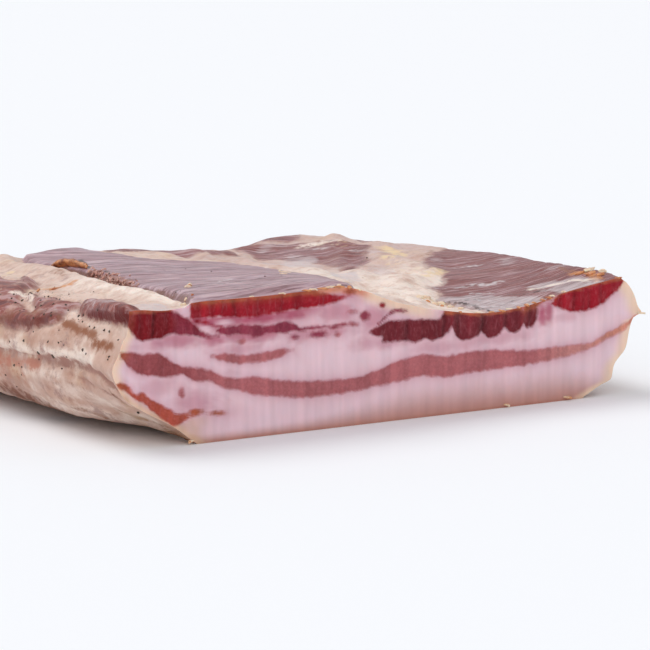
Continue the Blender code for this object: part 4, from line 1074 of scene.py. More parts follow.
def outer_fat(at, colours):
    """Colour of the dried fat: cleaner on the top and cloudy on the walls, with skin at the foot that also
    paints the shade along it.
    """
    along, deep, height = at.along, at.deep, at.height
    on_wall = (1 - ease(height, *WALL_STARTS)) * ~at.on_top
    on_right = at.on_top * ease(along, 100, 130)
    cloudy = wobbles(along, deep, height, CLOUDS)
    cleaner = between(deep, (8, 20), (60, 110)) * ease(along, 20, 34) * at.on_top
    cleaner = np.maximum(cleaner, 0.75 * ease(along, 112, 134) * (1 - ease(deep, 30, 64)) * at.on_top)
    layers = [
        ("wall_fat", on_wall),
        ("yellow", 0.3 * ease(wobble(along, deep, height, 12, 17.3), 0.2, 0.7)),
        ("pale_fat", 0.5 * ease(cloudy, 0.1, 0.7) * on_wall),
        ("tan", 0.36 * ease(-cloudy, 0.15, 0.8) * on_wall),
        ("film", 0.5 * ease(-cloudy, 0.0, 0.6) * on_right),
        ("flap", 0.27 * on_right),
        # Skin colour at the walls' foot, also painted shade along the foot
        ("rind", 0.9 * (1 - ease(height, 2.5, 5)) * (deep > 1)),
        ("pale_fat", 0.8 * cleaner),
    ]
    for line, half, strength in PALE_FAT:
        near = 1 - ease(from_line(at.u, at.v, line) + 0.6 * at.stray, 0.4 * half, 1.4 * half)
        layers.append(("pale_fat", strength * near))

    # The far walls have the same creases as the one that shows, with the same painted shade
    unseen = np.maximum(ease(along, 120, 160), ease(deep, 100, 130)) * (height < EDGE_HEIGHT - 8) * ~at.on_top
    crease_height = 27 + 2.2 * wobble(along, deep, 0, 30, 3.9)
    crease_half = 2.2 + 1.2 * wobble(along, deep, 0, 21, 5.1)
    salmon = (1 - ease(height, 10, 22)) * (0.5 + wobble(along, deep, height, 16, 8.8))
    layers += [
        ("crease", 0.8 * ease(crease_half - np.abs(height - crease_height), -1.5, 1.5) * unseen),
        ("salmon", 0.6 * salmon * unseen),
    ]
    return layered(np.broadcast_to(colours["outer_fat"], (len(along), 3)), colours, layers)


def outer_paint(at, colours):
    """Colour and amount of the stains and of the painted shade in creases and slits on the outside, and how
    deep its creases go.
    """
    paint = np.zeros((len(at.u), 3))
    amount, dent, slit = np.zeros((3, len(at.u)))
    for name, line, half, strength in STAINS:
        away = from_line(at.u, at.v, line) + 0.8 * at.stray
        near = strength * (1 - ease(away, 0.1 * half, 1.8 * half))
        if name == "crease":
            dent = np.maximum(dent, strength * bump_at(away, 0, 1.2 * half))
        paint = layered(paint, colours, [(name, near / np.maximum(near + amount, 1e-6))])
        amount = np.maximum(amount, near)
    for line, half in SLITS:
        away = from_line(at.u, at.v, line) + 0.25 * at.stray
        slit = np.maximum(slit, 1 - ease(away, 0.4 * half, 1.6 * half))
    paint = layered(paint, colours, [("shadow", slit / np.maximum(slit + amount, 1e-6))])
    return {"outer_paint": paint, "outer_paint_amount": np.maximum(amount, 0.92 * slit), "dent": dent}


def outer_film(at):
    """How much membrane lies over the top: whole in the film outlines, and thin in those of haze."""
    film = np.zeros(len(at.u))
    for outline in FILM_OUTLINES:
        film = np.maximum(film, ease(inside_outline(at.u, at.v, outline) + at.stray, -2.5, 3))
    for outline in HAZE_OUTLINES:
        film = np.maximum(film, 0.84 * ease(inside_outline(at.u, at.v, outline) + 1.6 * at.stray, -6, 6))
    return film * at.on_top


def outer_fields(along, deep, height, on_top, colours):
    """What the dried outside's material reads, by name, for each point."""
    u, v = unrolled(along, deep, height)
    at = SimpleNamespace(
        along=along, deep=deep, height=height, u=u, v=v, on_top=on_top | (height > EDGE_HEIGHT - 2),
        stray=wobbles(along, deep, height, OUTLINE_STRAY),
    )
    to_groove = along - smooth_through(FLAP_LEFT, deep) + 0.8 * wobble(along, deep, 0, 5, 3.7)
    # Where the groove beside the flap gets painted shade, up onto the flap's edge
    groove = between(to_groove, (-2.4, -0.6), (2.4, 3.6)) * between(deep, (0.5, 4), (150, 175)) * at.on_top
    tissue = bump_at(to_groove, 2.5, 3.8) * between(deep, (58, 68), (110, 122)) * at.on_top
    clusters = ease(wobble(along, deep, height, 15, 41.0), -0.1, 0.5)
    by_lobes = 1 - ease(u, 12, 24)
    pepper = (0.1 + 0.9 * clusters) * np.where(at.on_top, 0.02 + 0.7 * by_lobes, 0.3 - 0.12 * by_lobes)
    pepper *= ease(deep, 1.0, 4.0) * ease(height, 8, 16)
    return {
        **outer_lean(at, colours), **outer_paint(at, colours), "outer_fat_colour": outer_fat(at, colours),
        "outer_film": outer_film(at), "outer_groove": groove * (0.62 + 0.38 * ease(deep, 40, 60)),
        "tissue": tissue, "pepper": pepper,
    }


def store(mesh, name, kind, values):
    """Keeps one value, colour or vector for each point of the mesh."""
    field = {"FLOAT": "value", "FLOAT_COLOR": "color", "FLOAT_VECTOR": "vector"}[kind]
    if kind == "FLOAT_COLOR":
        values = np.concatenate([values, np.ones((len(values), 1))], 1)
    layer = mesh.attributes.new(name, kind, "POINT")
    layer.data.foreach_set(field, np.ascontiguousarray(values, np.float32).ravel())


def cut_relief(along, height, cut):
    """How far the cut stands out: lean sinks a little, bundles bulge, and the blade leaves upright waves."""
    lean, shade = cut["cut_lean"], cut["cut_shade"]
    waves = 0.22 * wobble(along, 0, height * 0.15, 5.5, 2.2) + 0.09 * wobble(along, 0, height * 0.3, 2.1, 6.2)
    sunk = -0.45 * ease(lean, -0.4, 0.9) + 0.3 * ease(lean, 0.8, 2.6)
    return waves + sunk - 0.45 * np.clip(shade, -0.4, 1) + 0.07 * wobble(along, 0, height, 1.6, 3.3)


def outer_relief(along, deep, height, outer, on_top):
    """How far the dried outside stands out: bulging muscles, fibres, lumps of fat, wrinkled film, tissue."""
    lean, film, tissue = outer["outer_lean"], outer["outer_film"], outer["tissue"]
    down_fibre, over_fibre, _ = outer["fibre"].T
    in_lean = ease(lean, -0.5, 1.5)
    lobes = 1 - ease(along, 26, 44)
    bulge = lobes * (2.1 * ease(lean, -0.5, 5.5) - 0.8 * bump_at(lean, 0, 1.5))
    strands = 0.26 * wobble(down_fibre / 11, over_fibre / 2.0, 0, 1, 4.4)
    strands += 0.2 * wobble(down_fibre / 18, over_fibre / 5.0, 0, 1, 9.1)
    wrinkles = 0.55 * wobble(down_fibre / 12, over_fibre / 2.4, 0, 1, 14.4)
    lumps = wobbles(along, deep, height, DRIED_FAT_LUMPS)
    ragged = wobbles(along, deep, height, RAGGED_TISSUE)
    made = strands * in_lean * (1 - 0.5 * lobes) + lumps * (1 - 0.7 * in_lean)
    made += wrinkles * film + ragged * tissue + bulge
    made -= 0.5 * ease(-np.abs(lean), -1.2, 0) * on_top * (1 - film)
    return made - 0.8 * outer["outer_groove"] - 1.5 * outer["dent"]


def meat_mesh(colours):
    """The slab's mesh with its relief, its fields and its three finishes' slots."""
    points = slab_points()
    faces, parts = slab_faces()
    index = np.arange(len(points))
    on_top = index < GRID_POINTS
    in_cut = ~on_top & ((index - GRID_POINTS) % RING_POINTS <= ALONG_CELLS)
    on_rim = cut_rim(len(points))

    along, deep, height = points.T
    top = smooth_through(TOP_AT_CUT, along)
    cut = cut_fields(along, height, top, colours)
    outer = outer_fields(along, deep, height, on_top, colours)
    for name in ("pepper", "tissue"):
        outer[name] = np.where(in_cut, 0, outer[name])

    mesh = bpy.data.meshes.new("pancetta_meat")
    mesh.from_pydata((points * MM).tolist(), [], faces)
    normals = np.empty(len(points) * 3, np.float32)
    mesh.vertices.foreach_get("normal", normals)
    relief = np.where(
        in_cut,
        cut_relief(along, height, cut) * ease(height, 0, 3) * ease(top - height, 0, 1.2),
        outer_relief(along, deep, height, outer, on_top) * ease(deep, 0.2, 2.5),
    )
    relief *= ease(height, 0, 4) * ~on_rim
    points = points + normals.reshape(-1, 3) * relief[:, None]
    fit_to_slab(points)
    mesh.vertices.foreach_set("co", (points * MM).astype(np.float32).ravel())

    del outer["dent"]
    for name, values in {**cut, **outer}.items():
        kind = "FLOAT" if values.ndim == 1 else "FLOAT_VECTOR" if name == "fibre" else "FLOAT_COLOR"
        store(mesh, name, kind, values)

    mesh.polygons.foreach_set("material_index", parts.astype(np.int32))
    mesh.shade_smooth()
    ends = np.empty(len(mesh.edges) * 2, np.int32)
    mesh.edges.foreach_get("vertices", ends)
    sharp = mesh.attributes.new("sharp_edge", "BOOLEAN", "EDGE")
    sharp.data.foreach_set("value", on_rim[ends.reshape(-1, 2)].all(1))
    mesh.update()
    return mesh


def fit_to_slab(points):
    """Moves the points, in mm, into the slab's box, clear of its sides by the pepper that stands out."""
    low, high = points.min(0), points.max(0)
    for axis, (from_low, from_high) in enumerate(((PEPPER_PROUD, PEPPER_PROUD), (0, PEPPER_PROUD))):
        target_low = SLAB_LOW[axis] / MM + from_low
        target_high = SLAB_HIGH[axis] / MM - from_high
        scale = (target_high - target_low) / (high[axis] - low[axis])
        points[:, axis] = target_low + (points[:, axis] - low[axis]) * scale
    points[:, 2] -= low[2]


def add(tree, kind, inputs=None, output=0, **settings):
    """Adds a node and gives one of its outputs, or the node itself for None. Inputs go by socket name or
    number and are values or other nodes' outputs."""
    made = tree.nodes.new(kind)
    for name, value in settings.items():
        setattr(made, name, value)
    for name, value in (inputs or {}).items():
        if isinstance(value, bpy.types.NodeSocket):
            tree.links.new(value, made.inputs[name])
        else:
            made.inputs[name].default_value = value
    return made if output is None else made.outputs[output]


def new_material(name, colour, **shader_values):
    """A material whose Principled shader has these constant values."""
    made = bpy.data.materials.new(name)
    made.use_nodes = True
    made.diffuse_color = (*colour, 1.0)
    shader = made.node_tree.nodes["Principled BSDF"]
    for socket, value in shader_values.items():
        shader.inputs[socket.replace("_", " ")].default_value = value
    return made, made.node_tree, shader


def fresh_cut_pork_belly(settings):
    """Cured belly cut with a long knife: waxy fat and moist lean that let light in, upright blade marks."""
    made, tree, shader = new_material(
        "fresh_cut_pork_belly", settings.fat, IOR=1.42, Specular_IOR_Level=0.18,
        Subsurface_Weight=settings.subsurface, Subsurface_Radius=(1.0, 0.42, 0.32), Subsurface_Scale=0.0022,
    )
    place = add(tree, "ShaderNodeTexCoord", output="Object")
    lean, shade = (
        add(tree, "ShaderNodeAttribute", attribute_name=name, output="Fac")
        for name in ("cut_lean", "cut_shade")
    )
    lean_colour, fat_colour = (
        add(tree, "ShaderNodeAttribute", attribute_name=name, output="Color")
        for name in ("cut_lean_colour", "cut_fat_colour")
    )

    # Sizes in mm: teeth where lean meets fat, clouds in the fat, paler patches and grain in the lean
    teeth, cloud, patches, grain = (
        add(tree, "ShaderNodeTexNoise", {
            "Vector": place, "Scale": 1000 / size, "Detail": detail, "Roughness": roughness,
        }, output="Fac")
        for size, detail, roughness in ((2.2, 2.5, 0.55), (9, 3.0, 0.6), (3.6, 4.0, 0.7), (0.9, 2.0, 0.5))
    )
    # Upright marks of the blade 3 mm apart, drawn out down the whole cut, and flecks of fat 3 mm long
    marks, flecks = (
        add(tree, "ShaderNodeTexNoise", {
            "Vector": add(tree, "ShaderNodeMapping", {
                "Vector": place, "Scale": tuple(1000 / size for size in sizes),
            }),
            "Scale": 1.0, "Detail": detail, "Roughness": roughness,
        }, output="Fac")
        for sizes, detail, roughness in (((3.2, 30, 34), 1.5, 0.5), ((1.4, 3, 4), 3.0, 0.62))
    )

    # Lean and fat interlock in teeth about a millimetre long
    teeth = add(tree, "ShaderNodeMath", {0: teeth, 1: 0.5}, operation="SUBTRACT")
    edge, caught, height = (
        add(tree, "ShaderNodeMath", {0: value, 1: share, 2: added}, operation="MULTIPLY_ADD")
        for value, share, added in ((teeth, 1.5, lean), (grain, 0.45, marks), (grain, 0.3, marks))
    )
    in_lean = add(
        tree, "ShaderNodeMapRange", {"Value": edge, "From Min": -0.75, "From Max": 0.75},
        interpolation_type="SMOOTHSTEP",
    )
    fat_light, lean_light, flecks, patches, rough = (
        add(tree, "ShaderNodeMapRange", {
            "Value": value, "From Min": low, "From Max": high, "To Min": least, "To Max": most,
        })
        for value, low, high, least, most in (
            (marks, 0.3, 0.7, 0.93, 1.05), (caught, 0.52, 0.93, 0.8, 1.15), (flecks, 0.52, 0.76, 0.0, 0.22),
            (patches, 0.46, 0.74, 0.0, 0.42), (in_lean, 0.0, 1.0, 0.46, 0.36),
        )
    )

    tinge = add(tree, "ShaderNodeMix", {0: cloud, 6: COOL_FAT, 7: WARM_FAT}, data_type="RGBA", output=2)
    fat = add(
        tree, "ShaderNodeMix", {0: 1.0, 6: fat_colour, 7: tinge}, data_type="RGBA", blend_type="MULTIPLY",
        output=2,
    )
    lean_light = add(tree, "ShaderNodeMath", {0: shade, 1: -0.62, 2: lean_light}, operation="MULTIPLY_ADD")
    fat, meat = (
        add(tree, "ShaderNodeVectorMath", {0: colour, "Scale": light}, operation="SCALE")
        for colour, light in ((fat, fat_light), (lean_colour, lean_light))
    )
    meat = add(
        tree, "ShaderNodeMix", {0: flecks, 6: meat, 7: (*settings.fleck, 1)}, data_type="RGBA", output=2
    )
    lighter = add(tree, "ShaderNodeVectorMath", {0: meat, 1: settings.glint}, operation="ADD")
    meat = add(tree, "ShaderNodeMix", {0: patches, 6: meat, 7: lighter}, data_type="RGBA", output=2)
    colour = add(tree, "ShaderNodeMix", {0: in_lean, 6: fat, 7: meat}, data_type="RGBA", output=2)
    bump = add(tree, "ShaderNodeBump", {"Height": height, "Strength": 0.5, "Distance": 0.00035})
    for socket, value in (("Base Color", colour), ("Roughness", rough), ("Normal", bump)):
        tree.links.new(value, shader.inputs[socket])
    return made


def air_dried_pork_belly(settings):
    """The outside after weeks of hanging: leathery fibrous lean with a grey bloom, and waxy cream fat."""
    made, tree, shader = new_material(
        "air_dried_pork_belly", settings.outer_fat, IOR=1.45, Subsurface_Weight=0.15,
        Subsurface_Radius=(1.0, 0.5, 0.35), Subsurface_Scale=0.0016,
    )
    place = add(tree, "ShaderNodeTexCoord", output="Object")
    fibre = add(tree, "ShaderNodeAttribute", attribute_name="fibre", output="Vector")
    lean, film, groove, tissue, pepper, paint_amount, bloom, mottled, gloss = (
        add(tree, "ShaderNodeAttribute", attribute_name=name, output="Fac")
        for name in (
            "outer_lean", "outer_film", "outer_groove", "tissue", "pepper", "outer_paint_amount",
            "outer_bloom", "outer_mottled", "outer_gloss",
        )
    )
    meat, fat, paint = (
        add(tree, "ShaderNodeAttribute", attribute_name=name, output="Color")
        for name in ("outer_lean_colour", "outer_fat_colour", "outer_paint")
    )

    # Sizes in mm: the ragged edges of all that meets, patches round the lobes and mottling of the fat
    ragged, patch, mottle = (
        add(tree, "ShaderNodeTexNoise", {
            "Vector": place, "Scale": 1000 / size, "Detail": detail, "Roughness": roughness,
        }, output="Fac")
        for size, detail, roughness in ((4, 4.0, 0.65), (8, 6.0, 0.72), (7, 5.0, 0.7))
    )
    # Fibre bundles about 1.6 mm wide and 22 mm long and broader bands, read in the muscle's own directions
    bundles, bands = (
        add(tree, "ShaderNodeTexNoise", {
            "Vector": add(tree, "ShaderNodeMapping", {
                "Vector": fibre, "Scale": tuple(1 / size for size in sizes), "Location": shift,
            }),
            "Scale": 1.0, "Detail": detail, "Roughness": roughness, "Distortion": distortion,
        }, output="Fac")
        for sizes, shift, detail, roughness, distortion in (
            ((22, 1.6, 6), (0, 0, 0), 4.0, 0.65, 0.5), ((46, 6, 12), (3.1, 1.7, 0.4), 3.0, 0.6, 0.0),
        )
    )

    ragged = add(tree, "ShaderNodeMath", {0: ragged, 1: 0.5}, operation="SUBTRACT")
    edge, torn, sunk, painted = (
        add(tree, "ShaderNodeMath", {0: ragged, 1: share, 2: field}, operation="MULTIPLY_ADD")
        for share, field in ((5.5, lean), (2.5, tissue), (1.6, groove), (3.0, paint_amount))
    )
    in_lean, painted = (
        add(
            tree, "ShaderNodeMapRange", {"Value": value, "From Min": low, "From Max": high},
            interpolation_type="SMOOTHSTEP",
        )
        for value, low, high in ((edge, -1.6, 2.4), (painted, 0.2, 1.0))
    )
    streaks = add(tree, "ShaderNodeMath", {0: bundles, 1: film}, operation="ADD")
    dark, pale, patchy, fat_in_lean, lean_in_fat, stain, in_film, torn, sunk = (
        add(tree, "ShaderNodeMapRange", {
            "Value": value, "From Min": none, "From Max": full, "To Max": most,
        })
        for value, none, full, most in (
            (bundles, 0.51, 0.37, 0.85), (bundles, 0.52, 0.63, 0.8), (bands, 0.44, 0.6, 0.6),
            (patch, 0.53, 0.66, 0.8), (patch, 0.48, 0.36, 0.75), (mottle, 0.46, 0.7, 0.7),
            (streaks, 1.15, 1.6, 0.8), (torn, 0.4, 0.8, 0.9), (sunk, 0.3, 0.75, 0.9),
        )
    )
    paler = add(tree, "ShaderNodeMath", {0: bloom, 1: 0.4, 2: 0.6}, operation="MULTIPLY_ADD")
    strength = add(tree, "ShaderNodeMath", {0: paint_amount, 1: 0.5}, operation="POWER")
    bloom, pale, fat_in_lean, lean_in_fat, painted, speck_size, gloss, soft = (
        add(tree, "ShaderNodeMath", {0: first, 1: second}, operation="MULTIPLY")
        for first, second in (
            (patchy, bloom), (pale, paler), (fat_in_lean, mottled), (lean_in_fat, mottled),
            (painted, strength), (pepper, 0.24), (gloss, 0.5), (mottle, 0.6),
        )
    )
    # Pepper dust in specks of a third of a millimetre
    specks = add(tree, "ShaderNodeTexVoronoi", {"Vector": place, "Scale": 1000 / 1.7}, output="Distance")
    dust = add(tree, "ShaderNodeMath", {0: specks, 1: speck_size}, operation="LESS_THAN")
    dust = add(tree, "ShaderNodeMath", {0: dust, 1: 0.75}, operation="MULTIPLY")

    # Over the lean: grey bloom, painted shade on the fibre bundles that lie deep and a painted highlight on
    # those that stand out. Round the lobes fat shows through the lean and lean through the fat, in patches of
    # a few millimetres
    for amount, tone in (
        (bloom, settings.bloom), (dark, settings.fibre_shade), (pale, settings.fibre_highlight),
        (fat_in_lean, settings.fat_patch),
    ):
        meat = add(tree, "ShaderNodeMix", {0: amount, 6: meat, 7: (*tone, 1)}, data_type="RGBA", output=2)
    for amount, tone in ((lean_in_fat, settings.lean_patch), (stain, settings.stained_fat)):
        fat = add(tree, "ShaderNodeMix", {0: amount, 6: fat, 7: (*tone, 1)}, data_type="RGBA", output=2)
    # Over the fat in turn: the lean, the film, torn tissue, the groove's painted shade, the stains with
    # painted shade and highlights among them, and pepper dust
    colour = fat
    for amount, tone in (
        (in_lean, meat), (in_film, (*settings.film, 1)), (torn, (*settings.torn_tissue, 1)),
        (sunk, (*settings.groove, 1)), (painted, paint), (dust, (*settings.dust, 1)),
    ):
        colour = add(tree, "ShaderNodeMix", {0: amount, 6: colour, 7: tone}, data_type="RGBA", output=2)

    leathery = add(tree, "ShaderNodeMapRange", {
        "Value": bundles, "From Min": 0.3, "From Max": 0.7, "To Min": 0.28, "To Max": 0.5,
    })
    rough, height = (
        add(tree, "ShaderNodeMix", {0: in_lean, 2: of_fat, 3: of_lean}, data_type="FLOAT")
        for of_fat, of_lean in ((0.5, leathery), (soft, bundles))
    )
    bump = add(tree, "ShaderNodeBump", {"Height": height, "Strength": 0.8, "Distance": 0.0007})
    for socket, value in (
        ("Base Color", colour), ("Roughness", rough), ("Specular IOR Level", gloss), ("Normal", bump),
    ):
        tree.links.new(value, shader.inputs[socket])
    return made


def two_toned(tree, shader, tones, amount, height, strength, depth):
    """Mixes two tones by an amount into the shader's colour, and gives it a bump of a depth in metres."""
    first, second = tones
    colour = add(
        tree, "ShaderNodeMix", {0: amount, 6: (*first, 1), 7: (*second, 1)}, data_type="RGBA", output=2
    )
    bump = add(tree, "ShaderNodeBump", {"Height": height, "Strength": strength, "Distance": depth})
    tree.links.new(colour, shader.inputs["Base Color"])
    tree.links.new(bump, shader.inputs["Normal"])


def cured_rind(settings):
    """Skin cured with the belly: tan and horny, with pores a millimetre apart."""
    made, tree, shader = new_material("cured_rind", settings.rind, Roughness=0.5, IOR=1.5)
    place = add(tree, "ShaderNodeTexCoord", output="Object")
    pores = add(tree, "ShaderNodeTexVoronoi", {"Vector": place, "Scale": 1000 / 1.8}, output="Distance")
    cloud = add(
        tree, "ShaderNodeTexNoise", {"Vector": place, "Scale": 1000 / 12, "Detail": 4.0}, output="Fac"
    )
    two_toned(tree, shader, (settings.rind, settings.dark_rind), cloud, pores, 0.4, 0.0003)
    return made


def cracked_peppercorn(settings):
    """Coarsely cracked black pepper: a wrinkled near-black husk with paler broken faces."""
    made, tree, shader = new_material("cracked_peppercorn", settings.colour, Roughness=0.7, IOR=1.45)
    place = add(tree, "ShaderNodeTexCoord", output="Object")
    broken = add(
        tree, "ShaderNodeTexNoise", {"Vector": place, "Scale": 1000 / 1.1, "Detail": 3.0}, output="Fac"
    )
    amount = add(
        tree, "ShaderNodeMapRange", {"Value": broken, "From Min": 0.55, "From Max": 0.75, "To Max": 0.7}
    )
    two_toned(tree, shader, (settings.colour, settings.broken), amount, broken, 0.6, 0.0002)
    return made


def dried_bits(name, tones, roughness):
    """Torn scraps that dried where they hung: two tones of one tissue, waxy and a little see-through."""
    made, tree, shader = new_material(
        name, tones[0], Roughness=roughness, IOR=1.45, Subsurface_Weight=0.25,
        Subsurface_Radius=(1.0, 0.5, 0.3), Subsurface_Scale=0.0012,
    )
    place = add(tree, "ShaderNodeTexCoord", output="Object")
    patches = add(
        tree, "ShaderNodeTexNoise", {"Vector": place, "Scale": 1000 / 2.6, "Detail": 4.0, "Roughness": 0.6},
        output="Fac",
    )
    amount = add(tree, "ShaderNodeMapRange", {"Value": patches, "From Min": 0.42, "From Max": 0.6})
    two_toned(tree, shader, tones, amount, patches, 0.6, 0.0004)
    return made


def scatter_tree(name):
    """Geometry Nodes that strew uneven little bits over a surface, thickest where an attribute says."""
    tree = bpy.data.node_groups.new(name, "GeometryNodeTree")
    for label, kind in (
        ("Geometry", "Geometry"), ("Mask", "String"), ("Per m2", "Float"), ("Smallest", "Float"),
        ("Largest", "Float"), ("Flatness", "Float"), ("Tilt", "Float"), ("Raggedness", "Float"),
        ("Subdivisions", "Int"), ("Seed", "Int"), ("Material", "Material"),
    ):
        tree.interface.new_socket(label, in_out="INPUT", socket_type="NodeSocket" + kind)
    tree.interface.new_socket("Geometry", in_out="OUTPUT", socket_type="NodeSocketGeometry")
    given = add(tree, "NodeGroupInput", output=None).outputs
    mask = add(tree, "GeometryNodeInputNamedAttribute", {"Name": given["Mask"]}, data_type="FLOAT")
    density = add(tree, "ShaderNodeMath", {0: mask, 1: given["Per m2"]}, operation="MULTIPLY")
    spread = add(
        tree, "GeometryNodeDistributePointsOnFaces",
        {"Mesh": given["Geometry"], "Density": density, "Seed": given["Seed"]}, output=None,
        distribute_method="RANDOM",
    ).outputs

    # Most bits are small, and each is squashed its own way
    bit = add(tree, "GeometryNodeMeshIcoSphere", {"Radius": 0.5, "Subdivisions": given["Subdivisions"]})
    size = add(
        tree, "FunctionNodeRandomValue", {2: 0.0, 3: 1.0, "Seed": given["Seed"]}, data_type="FLOAT", output=1
    )
    skewed = add(tree, "ShaderNodeMath", {0: size, 1: 2.2}, operation="POWER")
    size = add(
        tree, "ShaderNodeMapRange", {"Value": skewed, "To Min": given["Smallest"], "To Max": given["Largest"]}
    )
    least = add(tree, "ShaderNodeMath", {0: given["Tilt"], 1: -1.0}, operation="MULTIPLY")
    flat, low, high = (
        add(tree, "ShaderNodeCombineXYZ", {"X": x, "Y": y, "Z": z})
        for x, y, z in (
            (1.0, 1.0, given["Flatness"]), (least, least, -math.pi), (given["Tilt"], given["Tilt"], math.pi),
        )
    )
    shape, turn = (
        add(
            tree, "FunctionNodeRandomValue", {0: lowest, 1: highest, "Seed": given["Seed"]},
            data_type="FLOAT_VECTOR",
        )
        for lowest, highest in (((0.6, 0.6, 0.6), (1.35, 1.1, 1.0)), (low, high))
    )
    shape = add(tree, "ShaderNodeVectorMath", {0: shape, 1: flat}, operation="MULTIPLY")
    scale = add(tree, "ShaderNodeVectorMath", {0: shape, "Scale": size}, operation="SCALE")
    turn = add(tree, "FunctionNodeRotateRotation", {0: spread["Rotation"], 1: turn}, rotation_space="LOCAL")
    placed = add(tree, "GeometryNodeInstanceOnPoints", {
        "Points": spread["Points"], "Instance": bit, "Rotation": turn, "Scale": scale,
    })
    loose = add(tree, "GeometryNodeRealizeInstances", {"Geometry": placed})

    # Noise of 0.9 mm tears their faces
    where = add(tree, "GeometryNodeInputPosition")
    rag = add(
        tree, "ShaderNodeTexNoise", {"Vector": where, "Scale": 1000 / 0.9, "Detail": 1.0}, output="Color"
    )
    rag = add(tree, "ShaderNodeVectorMath", {0: rag, 1: (0.5, 0.5, 0.5)}, operation="SUBTRACT")
    rag = add(tree, "ShaderNodeVectorMath", {0: rag, "Scale": given["Raggedness"]}, operation="SCALE")
    loose = add(tree, "GeometryNodeSetPosition", {"Geometry": loose, "Offset": rag})
    finished = add(tree, "GeometryNodeSetMaterial", {"Geometry": loose, "Material": given["Material"]})
    add(tree, "NodeGroupOutput", {"Geometry": finished}, output=None)
    return tree


def scattered(name, source, tree, values):
    """A plain mesh piece of the bits that the tree strews over the source mesh."""
    carrier = bpy.data.objects.new(name, source.data.copy())
    bpy.context.scene.collection.objects.link(carrier)
    strewing = carrier.modifiers.new("strewing", "NODES")
    strewing.node_group = tree
    identifiers = {item.name: item.identifier for item in tree.interface.items_tree if item.in_out == "INPUT"}
    for label, value in values.items():
        strewing[identifiers[label]] = value
    graph = bpy.context.evaluated_depsgraph_get()
    made = bpy.data.meshes.new_from_object(carrier.evaluated_get(graph))
    carrier.modifiers.remove(strewing)
    carrier.data = made
    made.name = name
    for layer in list(made.attributes):
        if not layer.is_required and not layer.is_internal:
            made.attributes.remove(layer)
    made.materials.clear()
    made.materials.append(values["Material"])
    if not made.polygons:
        raise RuntimeError(f"{name}: nothing was strewn")
    return carrier


def as_piece(piece):
    """Puts a piece on the slab's one body."""
    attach(piece, BODY)
    return piece


def meat_piece():
    """The slab that the other pieces sit on."""
    return bpy.data.objects["pancetta_meat"]


def slab_place(along, deep, height):
    """A place on the slab, given in mm, in the scene's metres."""
    return Vector((SLAB_LOW.x + along * MM, SLAB_LOW.y + deep * MM, height * MM))


def surface_at(along, deep, height=None):
    """Point and outward direction of the meat, in metres: of its top over a place of the plan, or of its left
    wall at a height."""
    if height is None:
        place, way = slab_place(along, deep, LOOK_DOWN_FROM), Vector((0, 0, -1))
    else:
        place, way = slab_place(LOOK_IN_FROM, deep, height), Vector((1, 0, 0))
    hit, point, normal, _ = meat_piece().ray_cast(place, way)
    if not hit:
        raise RuntimeError(f"no meat at ({along}, {deep}, {height})")
    return point, normal


def lump(shape, place, outward, sizes, heading, seed, fineness=3):
    """Adds one uneven lump, half sunk, to a bmesh. Sizes are its length, width and height in mm."""
    turn = outward.to_track_quat("Z", "Y").to_matrix() @ Matrix.Rotation(heading, 3, "Z")
    made = bmesh.ops.create_icosphere(shape, subdivisions=fineness, radius=0.5)["verts"]
    for corner in made:
        bulge = 1 + 0.45 * noise.noise(corner.co * 2.4 + Vector((seed, 0, 0)))
        bulge += 0.22 * noise.noise(corner.co * 6.0 + Vector((0, seed, 0)))
        local = Vector((corner.co.x * sizes[0], corner.co.y * sizes[1], corner.co.z * sizes[2])) * bulge
        corner.co = place + turn @ (local * MM)


def mesh_piece(name, shape, material):
    """A smooth object of one material from a bmesh, which it frees."""
    mesh = bpy.data.meshes.new(name)
    bmesh.ops.recalc_face_normals(shape, faces=shape.faces)
    shape.to_mesh(mesh)
    shape.free()
    mesh.materials.append(material)
    mesh.shade_smooth()
    piece = bpy.data.objects.new(name, mesh)
    bpy.context.scene.collection.objects.link(piece)
    return piece


def lumps_on_top(name, places, material, seed):
    """A piece of all the lumps that lie at these places of the top."""
    shape = bmesh.new()
    for i, (along, deep, *sizes, heading) in enumerate(places):
        point, normal = surface_at(along, deep)
        lump(shape, point, normal, sizes, math.radians(heading), seed + 3.7 * i)
    return as_piece(mesh_piece(name, shape, material))


def sheet(shape, rows, thickness):
    """Adds a closed sheet through rows of points in metres, this many mm thick."""
    middle = [[Vector(point) for point in row] for row in rows]
    last_row, last_column = len(rows) - 1, len(rows[0]) - 1
    sides = []
    for way in (0.5, -0.5):
        side = []
        for i, row in enumerate(middle):
            line = []
            for j, point in enumerate(row):
                down = middle[min(i + 1, last_row)][j] - middle[max(i - 1, 0)][j]
                across = row[min(j + 1, last_column)] - row[max(j - 1, 0)]
                line.append(shape.verts.new(point + down.cross(across).normalized() * way * thickness * MM))
            side.append(line)
        sides.append(side)
    front, back = sides
    for i in range(last_row):
        for j in range(last_column):
            for side, order in ((front, 1), (back, -1)):
                shape.faces.new([side[i][j], side[i + 1][j], side[i + 1][j + 1], side[i][j + 1]][::order])
    border = [(0, j) for j in range(last_column)] + [(i, last_column) for i in range(last_row)]
    border += [(last_row, j) for j in range(last_column, 0, -1)] + [(i, 0) for i in range(last_row, 0, -1)]
    for (i0, j0), (i1, j1) in zip(border, border[1:] + border[:1]):
        shape.faces.new([front[i0][j0], front[i1][j1], back[i1][j1], back[i0][j0]])


